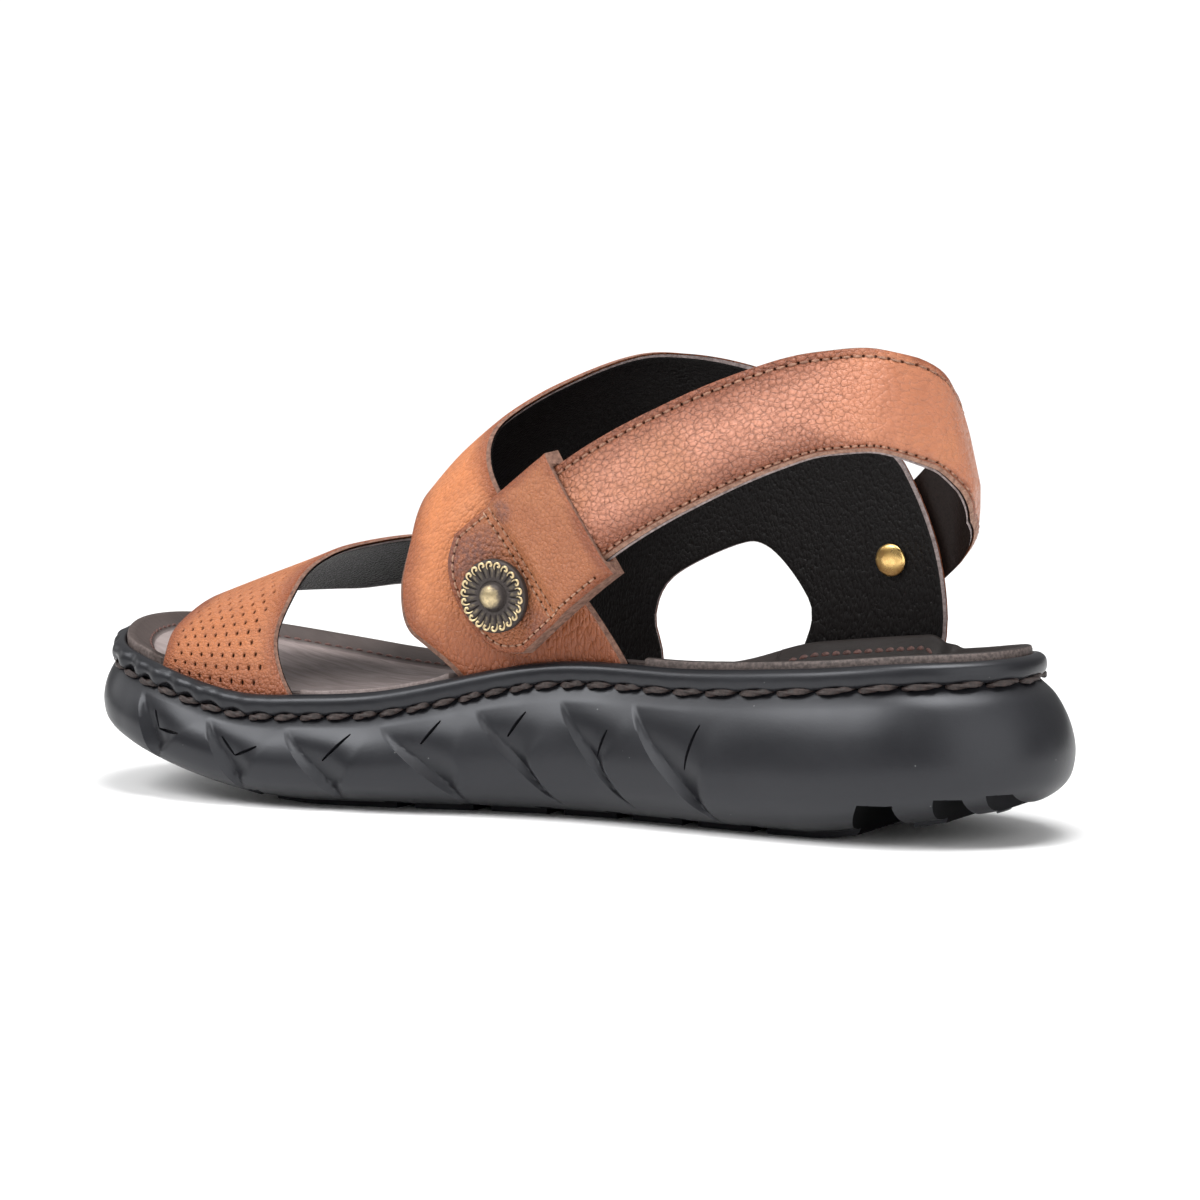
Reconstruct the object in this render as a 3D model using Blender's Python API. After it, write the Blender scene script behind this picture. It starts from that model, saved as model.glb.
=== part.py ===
"""A right leather sandal: moulded sole, welt, insole, one-piece strap upper, sling strap, sleeve and studs.

Sizes are in millimetres until a mesh is made. x runs from heel to toe, y towards the medial side
and z up from the floor. Tables are short and have a row for each section.
"""
import math
from collections import namedtuple

import bmesh
import bpy
from mathutils import Vector
from mathutils.geometry import delaunay_2d_cdt

for old in list(bpy.data.objects):
    bpy.data.objects.remove(old, do_unlink=True)

MM = 0.001
GAP = 0.3

# Sole: the welt seam is the line that every other outline is offset from
SEAM_LENGTH = 276.0
SEAM_HALF = SEAM_LENGTH / 2
HEEL_RADIUS = 22.0
TOE_RADIUS = 46.0

Plan = namedtuple("Plan", "x half_width centre")
SEAM_PLAN = [
    Plan(-109, 29.3, -0.3),
    Plan(-79, 32.4, -0.7),
    Plan(-49, 31.9, -2.0),
    Plan(-19, 31.5, -3.3),
    Plan(11, 35.0, -2.8),
    Plan(41, 41.6, -1.1),
    Plan(66, 44.9, 0.5),
    Plan(86, 45.1, 2.5),
    Plan(104, 42.0, 5.1),
    Plan(119, 36.1, 7.7),
    Plan(129, 28.2, 9.4),
]
HEEL_CENTRE = 0.0
TOE_CENTRE = 10.5

Rise = namedtuple("Rise", "x seam_medial seam_lateral underside step bulge")
SOLE_RISE = [
    Rise(-138, 44.0, 44.0, 7.5, 5.0, 9.6),
    Rise(-112, 43.0, 39.6, 4.0, 5.0, 8.4),
    Rise(-85, 40.5, 36.5, 0.0, 4.0, 7.0),
    Rise(-50, 38.0, 32.2, 0.0, 2.0, 6.0),
    Rise(-5, 37.0, 27.4, 0.0, 2.0, 5.5),
    Rise(40, 27.6, 25.5, 0.0, 2.0, 5.5),
    Rise(62, 25.6, 25.8, 0.0, 2.0, 5.5),
    Rise(85, 25.4, 27.6, 2.8, 2.0, 5.0),
    Rise(120, 33.6, 33.4, 12.5, 2.0, 4.0),
    Rise(138, 38.5, 38.5, 21.0, 2.0, 4.5),
]
TUCK = 5.0
TREAD_INSET = 2.5
TREAD_DRAFT = 0.5

# Side of the sole from the seam down: share of the drop, of the bulge, of the tuck and of the ribs
Side = namedtuple("Side", "drop out tuck rib")
SOLE_SIDE = [
    Side(0.03, 0.00, 0.00, 0.0),
    Side(0.14, 0.42, 0.00, 0.1),
    Side(0.30, 0.76, 0.00, 0.7),
    Side(0.47, 0.96, 0.00, 1.0),
    Side(0.62, 1.00, 0.00, 1.0),
    Side(0.78, 0.86, 0.00, 1.0),
    Side(0.89, 0.55, 0.10, 0.9),
    Side(0.97, 0.20, 0.45, 0.6),
    Side(1.00, 0.00, 1.00, 0.2),
]
SHELF_INSET = 1.4
BED_INSET = 16.0
BED_DISH = 1.0

# Ribs: stations of the creases at the top of the side. Behind a crease the side steps in, then swells again
CREASES = [120, 92, 66, 33, 8, -15, -37]
HEEL_LOBE_START = -66
RIB_HEIGHT = 2.2
CREASE_SWEEP = 22.0
SWEEP_POWER = 1.3
SWEEP_TOE_FADE = 110.0
SWEEP_HEEL_FADE = 90.0
Scale = namedtuple("Scale", "along height")
RIB_SCALE = [
    Scale(0.00, 0.45),
    Scale(0.08, -0.85),
    Scale(0.24, -0.65),
    Scale(0.44, 0.15),
    Scale(0.64, 0.50),
]
TOE_COLUMNS = 6
HEEL_COLUMNS = 13

# Tread: grooves across the underside that leave the lugs
TREAD_GROOVES = [-130, -117, -104, -68, -46, -25, -4, 17, 38, 78, 92, 106]
GROOVE_WIDTH = 5.0
GROOVE_DEPTH = 3.0
GROOVE_CUT_FROM = -10.0

# Welt lip: section in offset from the seam and height above it
Lip = namedtuple("Lip", "out up")
WELT_LIP = [
    Lip(-2.0, GAP),
    Lip(0.6, GAP),
    Lip(1.5, 1.5),
    Lip(1.7, 3.2),
    Lip(1.2, 5.0),
    Lip(0.0, 6.0),
    Lip(-1.2, 6.2),
    Lip(-2.0, 5.4),
]
RING_COLUMNS = 72

# Last: ridge line over the foot, and how far the sides swell above the seam
Ridge = namedtuple("Ridge", "x height across swell_medial swell_lateral")
LAST_RIDGE = [
    Ridge(-110, 142, -1, 2, 1),
    Ridge(-60, 140, -2, 4, 1),
    Ridge(-20, 129, -2, 6, 1),
    Ridge(10, 114, -1, 6, 1),
    Ridge(28, 100, 1, 4, 1),
    Ridge(42, 84, 3, 2, 1),
    Ridge(55, 75, 4, 1, 1),
    Ridge(75, 66, 6, 1, 1),
    Ridge(95, 58, 9, 1, 1),
    Ridge(115, 50, 12, 0, 0),
    Ridge(130, 45, 13, 0, 0),
]
TOP_POWER = 0.75
STATION_STEP = 0.5
GIRTH_STEP = 0.003
WALL = 2.2
LEG_INSET = 4.5
LEG_FOOT = 0.7

# Insole: border section in offset from the seam and height above it, and the notches for the legs
INSOLE_BORDER = [
    Lip(-18.0, 3.0),
    Lip(-14.0, 3.3),
    Lip(-8.5, 4.4),
    Lip(-4.9, 7.6),
    Lip(-3.6, 8.2),
    Lip(-2.3, 7.4),
    Lip(-2.3, GAP),
    Lip(-BED_INSET, GAP),
]
NOTCH_DEPTH = 3.2
NOTCH_DROP = 3.6
NOTCH_FROM = -12.0
NOTCH_MARGIN = 2.0
NOTCH_RAMP = 2.0
NOTCH_CLEAR = 1.5
Leg = namedtuple("Leg", "side rear front")
LEGS = [
    Leg(1, 66, 113),
    Leg(1, -30, 23),
    Leg(-1, -10, 42),
    Leg(-1, -99, -51),
]

# Upper pattern: each edge in station and girth, girth in percent from medial seam to lateral seam
Edge = namedtuple("Edge", "x girth")
TOE_STRAP_FRONT = [
    Edge(113, 0.0),
    Edge(112, 9.0),
    Edge(112, 19.0),
    Edge(110, 30.0),
    Edge(108, 48.0),
    Edge(103, 66.0),
    Edge(91, 75.5),
    Edge(77, 78.5),
    Edge(58, 83.0),
    Edge(46, 90.0),
    Edge(42, 100.0),
]
LATERAL_OPENING = [
    Edge(-10, 100.0),
    Edge(-9, 98.0),
    Edge(-7, 95.5),
    Edge(-13, 92.6),
    Edge(-33, 90.7),
    Edge(-43, 91.1),
    Edge(-54, 94.7),
    Edge(-57, 97.0),
    Edge(-51, 100.0),
]
COLLAR = [
    Edge(-98, 100.0),
    Edge(-100, 97.3),
    Edge(-97, 92.2),
    Edge(-89, 85.7),
    Edge(-83, 82.5),
    Edge(-66, 76.5),
    Edge(-43, 69.0),
    Edge(-27, 63.0),
    Edge(-14, 57.5),
    Edge(6, 51.5),
    Edge(17, 44.0),
    Edge(16, 32.0),
    Edge(8, 19.5),
    Edge(-8, 9.0),
    Edge(-20, 3.4),
    Edge(-30, 0.0),
]
WEDGE_OPENING = [
    Edge(18, 0.0),
    Edge(29, 4.3),
    Edge(35, 8.2),
    Edge(37, 15.0),
    Edge(36, 24.0),
    Edge(39, 40.0),
    Edge(43, 55.0),
    Edge(49, 66.0),
    Edge(54, 67.5),
    Edge(60, 62.0),
    Edge(69, 52.0),
    Edge(73, 38.0),
    Edge(73, 24.0),
    Edge(74, 13.0),
    Edge(71, 5.0),
    Edge(66, 0.0),
]
GIRTH_SCALE = 250.0
EDGE_STEP = 3.6
PATTERN_STEP = 7.4
EDGE_CLEAR = 0.6
PATTERN_MERGE = 0.0001
ROW_STEP = math.sqrt(3) / 2

# Sling strap: an ankle oval in plan, and the strap's middle line unrolled on it from the heel
ANKLE_MIDDLE = -40.0
ANKLE_LENGTH = 76.0
ANKLE_WIDTH = 35.0
ANKLE_LEAN = 0.26
ANKLE_LEAN_HEIGHT = 93.0
ANKLE_STEPS = 90
HEEL_FREE = 0.15
HEEL_BLEND = 0.25
SURFACE_BLEND = 3.0
LEAST_LEAN = 0.4
Path = namedtuple("Path", "around height")
STRAP_PATH = [
    Path(-57, 63),
    Path(-40, 76),
    Path(-15, 96),
    Path(2, 111),
    Path(18, 118),
    Path(34, 118),
    Path(50, 115),
    Path(75, 105),
    Path(108, 86.5),
    Path(148, 55.5),
]
STRAP_WIDTH = 30.0
STRAP_HEEL_WIDTH = 27.5
STRAP_THICKNESS = 3.0
STRAP_END_ROUND = 13.0
STRAP_END_STEPS = 8
STRAP_HEEL_SHARE = 0.5
STRAP_LIFT_START = 0.35
STRAP_LIFT_RUN = 0.3

# Sleeve: a doubled tab over the front end of the strap, with a pocket that opens to the rear
SLEEVE_LENGTH = 50.0
SLEEVE_WIDTH = 39.0
SLEEVE_SKIN = 1.6
SLEEVE_FRONT_THICKNESS = 4.4
POCKET_LENGTH = 18.0
POCKET_OVERRUN = 8.0
SLEEVE_RAMP = 6.0
SLEEVE_STEP = 4.0
SLEEVE_FRONT = [
    Path(0.76, 1.00),
    Path(0.90, 0.72),
    Path(0.98, 0.28),
    Path(1.00, -0.30),
    Path(0.95, -0.74),
    Path(0.82, -1.00),
]

# Studs: cap section as radius and height over the leather, with a post that the back is set on
Turn = namedtuple("Turn", "radius height")
STUD_CAP = [
    Turn(9.4, 0.0),
    Turn(10.2, 0.8),
    Turn(10.2, 2.4),
    Turn(9.2, 3.2),
    Turn(7.6, 2.3),
    Turn(4.4, 2.5),
    Turn(3.9, 4.0),
    Turn(2.2, 5.0),
]
STUD_TOP = 5.3
POST_RADIUS = 2.0
HOLE_OVERRUN = 6.0
STACK_LIMIT = 20.0
STACK_STEP = 0.01
STUD_SEGMENTS = 16
RIVET_BACK = [
    Turn(2.8, -1.8),
    Turn(4.6, -1.0),
    Turn(4.6, -0.6),
]
RIVET_TOP = -2.0
STUD_SEAT = 0.4
STUD_FROM_SLEEVE_FRONT = 13.5
STUD_BELOW_MIDDLE = 2.5
STUD_FROM_STRAP_END = 12.0


def smooth(rows, column, x):
    """A table's column at x, on a smooth curve through its rows."""
    xs = [row.x for row in rows]
    ys = [getattr(row, column) for row in rows]
    if x <= xs[0]:
        return ys[0]
    if x >= xs[-1]:
        return ys[-1]
    i = max(k for k in range(len(xs) - 1) if xs[k] <= x)

    def slope(k):
        before = max(k - 1, 0)
        after = min(k + 1, len(xs) - 1)
        return (ys[after] - ys[before]) / (xs[after] - xs[before])

    width = xs[i + 1] - xs[i]
    f = (x - xs[i]) / width
    start = ys[i] * (1 + 2 * f) * (1 - f) ** 2 + slope(i) * width * f * (1 - f) ** 2
    end = ys[i + 1] * f * f * (3 - 2 * f) - slope(i + 1) * width * f * f * (1 - f)
    return start + end


def fullness_rows():
    """Half widths as shares of an ellipse, so that the seam closes roundly at heel and toe."""
    Full = namedtuple("Full", "x fullness centre")
    rows = [Full(-SEAM_HALF, math.sqrt(HEEL_RADIUS * SEAM_HALF), HEEL_CENTRE)]
    for row in SEAM_PLAN:
        share = math.sqrt(1 - (row.x / SEAM_HALF) ** 2)
        rows.append(Full(row.x, row.half_width / share, row.centre))
    rows.append(Full(SEAM_HALF, math.sqrt(TOE_RADIUS * SEAM_HALF), TOE_CENTRE))
    return rows


FULLNESS = fullness_rows()


def outline(phi):
    """Plan point of the seam: phi is 0 at the toe, positive on the medial side, pi at the heel."""
    x = SEAM_HALF * math.cos(phi)
    y = smooth(FULLNESS, "centre", x) + smooth(FULLNESS, "fullness", x) * math.sin(phi)
    return Vector((x, y))


def seam_point(phi, out):
    """The seam moved out, square to itself."""
    step = 0.004
    along = (outline(phi + step) - outline(phi - step)).normalized()
    return outline(phi) + out * Vector((along.y, -along.x))


def phi_at(x):
    """Angle of the seam at station x, on the medial side."""
    return math.acos(max(-1.0, min(1.0, x / SEAM_HALF)))


def seam_height(phi):
    """Height of the seam above the floor."""
    column = "seam_medial" if math.sin(phi) >= 0 else "seam_lateral"
    return smooth(SOLE_RISE, column, SEAM_HALF * math.cos(phi))


def underside(x):
    """Height of the tread: flat under heel and forefoot, sprung at the toe, rolled at the heel."""
    return max(0.0, smooth(SOLE_RISE, "underside", x))


def both_sides(stations):
    """Seam angles for stations from toe to heel: medial side down, lateral side back."""
    medial = [phi_at(x) for x in stations]
    return medial + [-phi for phi in reversed(medial[1:-1])]


def finish_mesh(name, mesh_data, material, cutters=()):
    """Close a bmesh into a named object with its material and any cutters."""
    bmesh.ops.recalc_face_normals(mesh_data, faces=mesh_data.faces)
    mesh = bpy.data.meshes.new(name)
    mesh_data.to_mesh(mesh)
    mesh_data.free()
    mesh.shade_smooth()
    mesh.set_sharp_from_angle(angle=math.radians(40))
    piece = bpy.data.objects.new(name, mesh)
    bpy.context.scene.collection.objects.link(piece)
    piece.parent = sandal
    if material:
        mesh.materials.append(material)
    for cutter in cutters:
        cut = piece.modifiers.new("cut", "BOOLEAN")
        cut.operation = "DIFFERENCE"
        cut.solver = "EXACT"
        cut.object = cutter
    return piece


def as_cutter(piece):
    """Mark a piece as one that only cuts others."""
    piece.hide_render = True
    piece.display_type = "WIRE"
    return piece


def plain_material(name, colour, roughness, metallic=0.0):
    """One Principled material of an even colour."""
    material = bpy.data.materials.new(name)
    material.use_nodes = True
    shader = material.node_tree.nodes["Principled BSDF"]
    shader.inputs["Base Color"].default_value = (*colour, 1.0)
    shader.inputs["Roughness"].default_value = roughness
    shader.inputs["Metallic"].default_value = metallic
    return material


def ring_vertices(mesh_data, points):
    """Vertices for a ring of points in millimetres."""
    return [mesh_data.verts.new(Vector(point) * MM) for point in points]


def join_rings(mesh_data, first, second):
    """Quads between two rings of equal length."""
    count = len(first)
    for i in range(count):
        k = (i + 1) % count
        mesh_data.faces.new((first[i], first[k], second[k], second[i]))


def ladder_cap(mesh_data, ring):
    """Close a ring by rungs from the medial to the lateral side."""
    count = len(ring)
    half = count // 2
    mesh_data.faces.new((ring[0], ring[1], ring[-1]))
    for i in range(1, half - 1):
        mesh_data.faces.new((ring[i], ring[i + 1], ring[count - i - 1], ring[count - i]))
    mesh_data.faces.new((ring[half - 1], ring[half], ring[half + 1]))


def sole_columns():
    """Stations of the sole's columns from toe to heel, each with its rib height."""
    toe_step = phi_at(CREASES[0]) / TOE_COLUMNS
    columns = [(SEAM_HALF * math.cos(k * toe_step), 0.0) for k in range(TOE_COLUMNS)]
    for front, rear in zip(CREASES, CREASES[1:] + [HEEL_LOBE_START]):
        last_one = rear == HEEL_LOBE_START
        for row in RIB_SCALE:
            height = min(row.height, 0.0) if last_one and row.along > 0 else row.height
            columns.append((front + row.along * (rear - front), height * RIB_HEIGHT))
    start = phi_at(HEEL_LOBE_START)
    for k in range(HEEL_COLUMNS + 1):
        phi = start + (math.pi - start) * k / HEEL_COLUMNS
        columns.append((SEAM_HALF * math.cos(phi), 0.0))
    return columns


def swept_station(x, drop):
    """Station of a column lower down the side: creases sweep back, less at the toe and heel."""
    toe_fade = min(1.0, (SEAM_HALF - x) / SWEEP_TOE_FADE)
    heel_fade = min(1.0, (x + SEAM_HALF) / SWEEP_HEEL_FADE)
    return x - CREASE_SWEEP * toe_fade * heel_fade * drop ** SWEEP_POWER


def make_outsole(material):
    """The moulded unit: bed, shelf under the welt, ribbed bulging side, step and tread."""
    columns = sole_columns()
    ribs = [rib for x, rib in columns]
    ribs = ribs + list(reversed(ribs[1:-1]))
    top_phis = both_sides([x for x, rib in columns])
    mesh_data = bmesh.new()
    rings = []

    def add_ring(phis, place):
        points = []
        for phi, rib in zip(phis, ribs):
            out, height = place(phi, rib)
            spot = seam_point(phi, out)
            points.append((spot.x, spot.y, height))
        rings.append(ring_vertices(mesh_data, points))

    add_ring(top_phis, lambda phi, rib: (-BED_INSET, seam_height(phi) - BED_DISH))
    add_ring(top_phis, lambda phi, rib: (-SHELF_INSET, seam_height(phi)))

    def side_place(row):
        def place(phi, rib):
            x = SEAM_HALF * math.cos(phi)
            low = underside(x) + smooth(SOLE_RISE, "step", x)
            height = seam_height(phi) + (low - seam_height(phi)) * row.drop
            out = row.out * smooth(SOLE_RISE, "bulge", x) - row.tuck * TUCK + row.rib * rib
            return out, height
        return place

    for row in SOLE_SIDE:
        phis = both_sides([swept_station(x, row.drop) for x, rib in columns])
        add_ring(phis, side_place(row))

    def low_height(phi, share):
        x = SEAM_HALF * math.cos(phi)
        return underside(x) + share * smooth(SOLE_RISE, "step", x)

    low_phis = both_sides([swept_station(x, 1.0) for x, rib in columns])
    tread_out = -TUCK - TREAD_INSET
    add_ring(low_phis, lambda phi, rib: (tread_out + TREAD_DRAFT, low_height(phi, 1.0)))
    add_ring(low_phis, lambda phi, rib: (tread_out, low_height(phi, 0.0)))
    add_ring(low_phis, lambda phi, rib: (-BED_INSET, low_height(phi, 0.0)))
    for first, second in zip(rings, rings[1:]):
        join_rings(mesh_data, first, second)
    ladder_cap(mesh_data, rings[0])
    ladder_cap(mesh_data, rings[-1])
    return finish_mesh("outsole", mesh_data, material, [make_tread_cutter()])


def make_tread_cutter():
    """Bars across the underside, each as deep as its groove and as long as the tread is wide."""
    mesh_data = bmesh.new()
    for x in TREAD_GROOVES:
        medial = seam_point(phi_at(x), -TUCK)
        lateral = seam_point(-phi_at(x), -TUCK)
        top = underside(x) + GROOVE_DEPTH
        size = Vector((GROOVE_WIDTH, medial.y - lateral.y, top - GROOVE_CUT_FROM))
        middle = Vector((x, (medial.y + lateral.y) / 2, (top + GROOVE_CUT_FROM) / 2))
        bar = bmesh.ops.create_cube(mesh_data, size=1.0)["verts"]
        bmesh.ops.scale(mesh_data, vec=size * MM, verts=bar)
        bmesh.ops.translate(mesh_data, vec=middle * MM, verts=bar)
    return as_cutter(finish_mesh("tread_cutter", mesh_data, None))


def make_welt(material):
    """The rolled lip: its section carried round the seam."""
    phis = [2 * math.pi * k / RING_COLUMNS for k in range(RING_COLUMNS)]
    mesh_data = bmesh.new()
    rings = []
    for row in WELT_LIP:
        points = []
        for phi in phis:
            spot = seam_point(phi, row.out)
            points.append((spot.x, spot.y, seam_height(phi) + row.up))
        rings.append(ring_vertices(mesh_data, points))
    for first, second in zip(rings, rings[1:] + rings[:1]):
        join_rings(mesh_data, first, second)
    return finish_mesh("welt", mesh_data, material)


def last_point(x, girth):
    """A point of the last: girth runs from 0 at the medial seam over the ridge to 1 at the lateral seam."""
    side = 1 if girth < 0.5 else -1
    angle = math.pi * girth
    phi = side * phi_at(x)
    base = seam_point(phi, -LEG_INSET)
    foot = seam_height(phi) + LEG_FOOT
    across = smooth(LAST_RIDGE, "across", x)
    reach = abs(math.cos(angle))
    rise = max(math.sin(angle), 0.0) ** TOP_POWER
    swell = smooth(LAST_RIDGE, "swell_medial" if side > 0 else "swell_lateral", x)
    y = across + (base.y - across) * reach + side * swell * math.sin(2 * angle) ** 2
    z = foot + (smooth(LAST_RIDGE, "height", x) - foot) * rise
    return Vector((x + (base.x - x) * reach, y, z))


def last_normal(x, girth):
    """Outward direction of the last."""
    girth = max(2 * GIRTH_STEP, min(1 - 2 * GIRTH_STEP, girth))
    along = last_point(x + STATION_STEP, girth) - last_point(x - STATION_STEP, girth)
    around = last_point(x, girth + GIRTH_STEP) - last_point(x, girth - GIRTH_STEP)
    return around.cross(along).normalized()


def through(rows):
    """A smooth line through a table's rows, as plan points every few millimetres."""
    spots = [Vector((float(row[0]), float(row[1]))) for row in rows]
    ends = [2 * spots[0] - spots[1]] + spots + [2 * spots[-1] - spots[-2]]
    line = []
    for k in range(1, len(ends) - 2):
        a, b, c, d = ends[k - 1:k + 3]
        pieces = max(1, round((c - b).length / EDGE_STEP))
        for i in range(pieces):
            f = i / pieces
            line.append(b + 0.5 * f * (c - a + f * (2 * a - 5 * b + 4 * c - d + f * (3 * b - 3 * c + d - a))))
    line.append(spots[-1])
    return line


def inside(point, border):
    """Whether a pattern point lies inside a closed border."""
    odd = False
    for a, b in zip(border, border[1:] + border[:1]):
        if (a.y > point.y) != (b.y > point.y):
            if point.x < a.x + (b.x - a.x) * (point.y - a.y) / (b.y - a.y):
                odd = not odd
    return odd


def clear_of(point, border, distance):
    """Whether a pattern point keeps its distance from the border."""
    return all((point - spot).length > distance for spot in border)


def pattern_solid(name, border, place, thickness, material, cutters=(), step=PATTERN_STEP):
    """Cut a flat pattern, lay it on a surface and give it a wall.

    place(spot, depth) gives the point over a pattern spot at a depth between 0 and 1 of the wall.
    """
    count = len(border)
    low = [min(spot[k] for spot in border) for k in (0, 1)]
    high = [max(spot[k] for spot in border) for k in (0, 1)]
    spots = list(border)
    row = 0
    y = low[1]
    while y < high[1]:
        x = low[0] + (0.5 * step if row % 2 else 0.0)
        while x < high[0]:
            spot = Vector((x, y))
            if inside(spot, border) and clear_of(spot, border, EDGE_CLEAR * step):
                spots.append(spot)
            x += step
        y += step * ROW_STEP
        row += 1
    edges = [(k, (k + 1) % count) for k in range(count)]
    spots, edges, faces = delaunay_2d_cdt(spots, edges, [list(range(count))], 1, PATTERN_MERGE)[:3]
    uses = {}
    for face in faces:
        for a, b in zip(face, face[1:] + face[:1]):
            uses[frozenset((a, b))] = uses.get(frozenset((a, b)), 0) + 1
    mesh_data = bmesh.new()
    inner = [mesh_data.verts.new(place(spot, 0.0) * MM) for spot in spots]
    outer = [mesh_data.verts.new(place(spot, thickness) * MM) for spot in spots]
    for face in faces:
        mesh_data.faces.new([outer[k] for k in face])
        mesh_data.faces.new([inner[k] for k in reversed(face)])
        for a, b in zip(face, face[1:] + face[:1]):
            if uses[frozenset((a, b))] == 1:
                mesh_data.faces.new((outer[b], outer[a], inner[a], inner[b]))
    return finish_mesh(name, mesh_data, material, cutters)


def make_upper(material, cutters):
    """Toe strap, instep band and lateral quarter in one hollow wall over the last."""
    border = []
    for edge in (TOE_STRAP_FRONT, LATERAL_OPENING, COLLAR, WEDGE_OPENING):
        rows = [(row.x, row.girth / 100 * GIRTH_SCALE) for row in edge]
        border += through(rows)
    border = with_straight_runs(border)

    def place(spot, depth):
        girth = spot.y / GIRTH_SCALE
        return last_point(spot.x, girth) + depth * last_normal(spot.x, girth)

    return pattern_solid("upper", border, place, WALL, material, cutters)


def with_straight_runs(border):
    """Fill the straight runs along the seam with spots."""
    filled = []
    for a, b in zip(border, border[1:] + border[:1]):
        pieces = max(1, round((b - a).length / EDGE_STEP))
        filled += [a + (b - a) * k / pieces for k in range(pieces)]
    return filled


def make_insole(material):
    """The footbed with its turned-up border, set in where the legs of the upper go down."""
    breaks = []
    for leg in LEGS:
        for end, way in ((leg.rear, -1), (leg.front, 1)):
            breaks += [end + way * NOTCH_MARGIN, end + way * (NOTCH_MARGIN + NOTCH_RAMP)]
    even = [SEAM_HALF * math.cos(2 * math.pi * k / RING_COLUMNS) for k in range(RING_COLUMNS // 2 + 1)]
    kept = [x for x in even if all(abs(x - spot) > NOTCH_CLEAR for spot in breaks)]
    phis = both_sides(sorted(kept + breaks, reverse=True))

    def notched(phi):
        x = SEAM_HALF * math.cos(phi)
        side = 1 if math.sin(phi) > 0 else -1
        reach = NOTCH_MARGIN + NOTCH_RAMP / 2
        return any(leg.side == side and leg.rear - reach < x < leg.front + reach for leg in LEGS)

    mesh_data = bmesh.new()
    rings = []
    for row in INSOLE_BORDER:
        points = []
        for phi in phis:
            cut = notched(phi) and row.out > -BED_INSET
            out = row.out - (NOTCH_DEPTH if cut and row.out > NOTCH_FROM else 0.0)
            up = min(row.up, NOTCH_DROP) if cut else row.up
            spot = seam_point(phi, out)
            points.append((spot.x, spot.y, seam_height(phi) + up))
        rings.append(ring_vertices(mesh_data, points))
    for first, second in zip(rings, rings[1:]):
        join_rings(mesh_data, first, second)
    ladder_cap(mesh_data, rings[0])
    ladder_cap(mesh_data, rings[-1])
    return finish_mesh("insole", mesh_data, material)


def ankle_table():
    """Plan angle of the ankle oval against the way round it, from the back of the heel."""
    Around = namedtuple("Around", "x angle")
    rows = [Around(0.0, 0.0)]
    length = 0.0
    for k in range(1, ANKLE_STEPS + 1):
        a, b = math.pi * (k - 1) / ANKLE_STEPS, math.pi * k / ANKLE_STEPS
        dx = ANKLE_LENGTH * (math.cos(b) - math.cos(a))
        dy = ANKLE_WIDTH * (math.sin(b) - math.sin(a))
        length += math.hypot(dx, dy)
        rows.append(Around(length, b))
    return rows


ANKLE = ankle_table()


def upper_side(x, height, side, out):
    """How far from the middle the last lies at a station and height, moved out by a wall or a gap."""
    phi = side * phi_at(x)
    foot = seam_height(phi) + LEG_FOOT
    ridge = smooth(LAST_RIDGE, "height", x)
    share = max(0.0, min(1.0, (height - foot) / (ridge - foot)))
    girth = math.asin(share ** (1 / TOP_POWER)) / math.pi
    girth = girth if side > 0 else 1 - girth
    normal = last_normal(x, girth)
    lean = max(LEAST_LEAN, abs(normal.y))
    return abs(last_point(x, girth).y) + out / lean


def strap_surface(around, height, depth):
    """A point on the ankle oval, or on the upper where that lies further out."""
    side = 1 if around >= 0 else -1
    angle = smooth(ANKLE, "angle", abs(around))
    around_share = min(1.0, angle / (math.pi / 2))
    x = ANKLE_MIDDLE - ANKLE_LENGTH * math.cos(angle)
    x += ANKLE_LEAN * max(0.0, height - ANKLE_LEAN_HEIGHT) * max(0.0, math.cos(angle)) ** 2
    oval = ANKLE_WIDTH * math.sin(angle)
    wall = upper_side(x, height, side, WALL + GAP)
    from_heel = max(0.0, min(1.0, (around_share - HEEL_FREE) / HEEL_BLEND))
    y = oval + 0.5 * (wall - oval + math.hypot(oval - wall, SURFACE_BLEND)) * from_heel
    normal = Vector((-math.cos(angle) / ANKLE_LENGTH, side * math.sin(angle) / ANKLE_WIDTH, 0.0)).normalized()
    return Vector((x, side * y, height)) + depth * normal


def strap_line():
    """The strap's middle line, unrolled, with the length along it."""
    line = through(STRAP_PATH)
    lengths = [0.0]
    for a, b in zip(line, line[1:]):
        lengths.append(lengths[-1] + (b - a).length)
    return line, lengths


STRAP_LINE, STRAP_LENGTHS = strap_line()
STRAP_LENGTH = STRAP_LENGTHS[-1]


def strap_place(along, across, depth):
    """A point of the strap: along from its lateral end, across upwards, depth over the surface."""
    k = 0
    while k < len(STRAP_LINE) - 2 and STRAP_LENGTHS[k + 1] < along:
        k += 1
    step = STRAP_LINE[k + 1] - STRAP_LINE[k]
    f = (along - STRAP_LENGTHS[k]) / (STRAP_LENGTHS[k + 1] - STRAP_LENGTHS[k])
    before = STRAP_LINE[max(k - 1, 0)]
    after = STRAP_LINE[min(k + 2, len(STRAP_LINE) - 1)]
    start = (STRAP_LINE[k + 1] - before).normalized()
    end = (after - STRAP_LINE[k]).normalized()
    way = (start + (end - start) * f).normalized()
    spot = STRAP_LINE[k] + step * f + across * Vector((-way.y, way.x))
    return strap_surface(spot.x, spot.y, depth)


def strap_lift(along):
    """Depth of the strap's inner face: on the leather at its lateral end, inside the sleeve at the other."""
    f = max(0.0, min(1.0, (along / STRAP_LENGTH - STRAP_LIFT_START) / STRAP_LIFT_RUN))
    return (SLEEVE_SKIN + GAP) * f * f * (3 - 2 * f)


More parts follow.
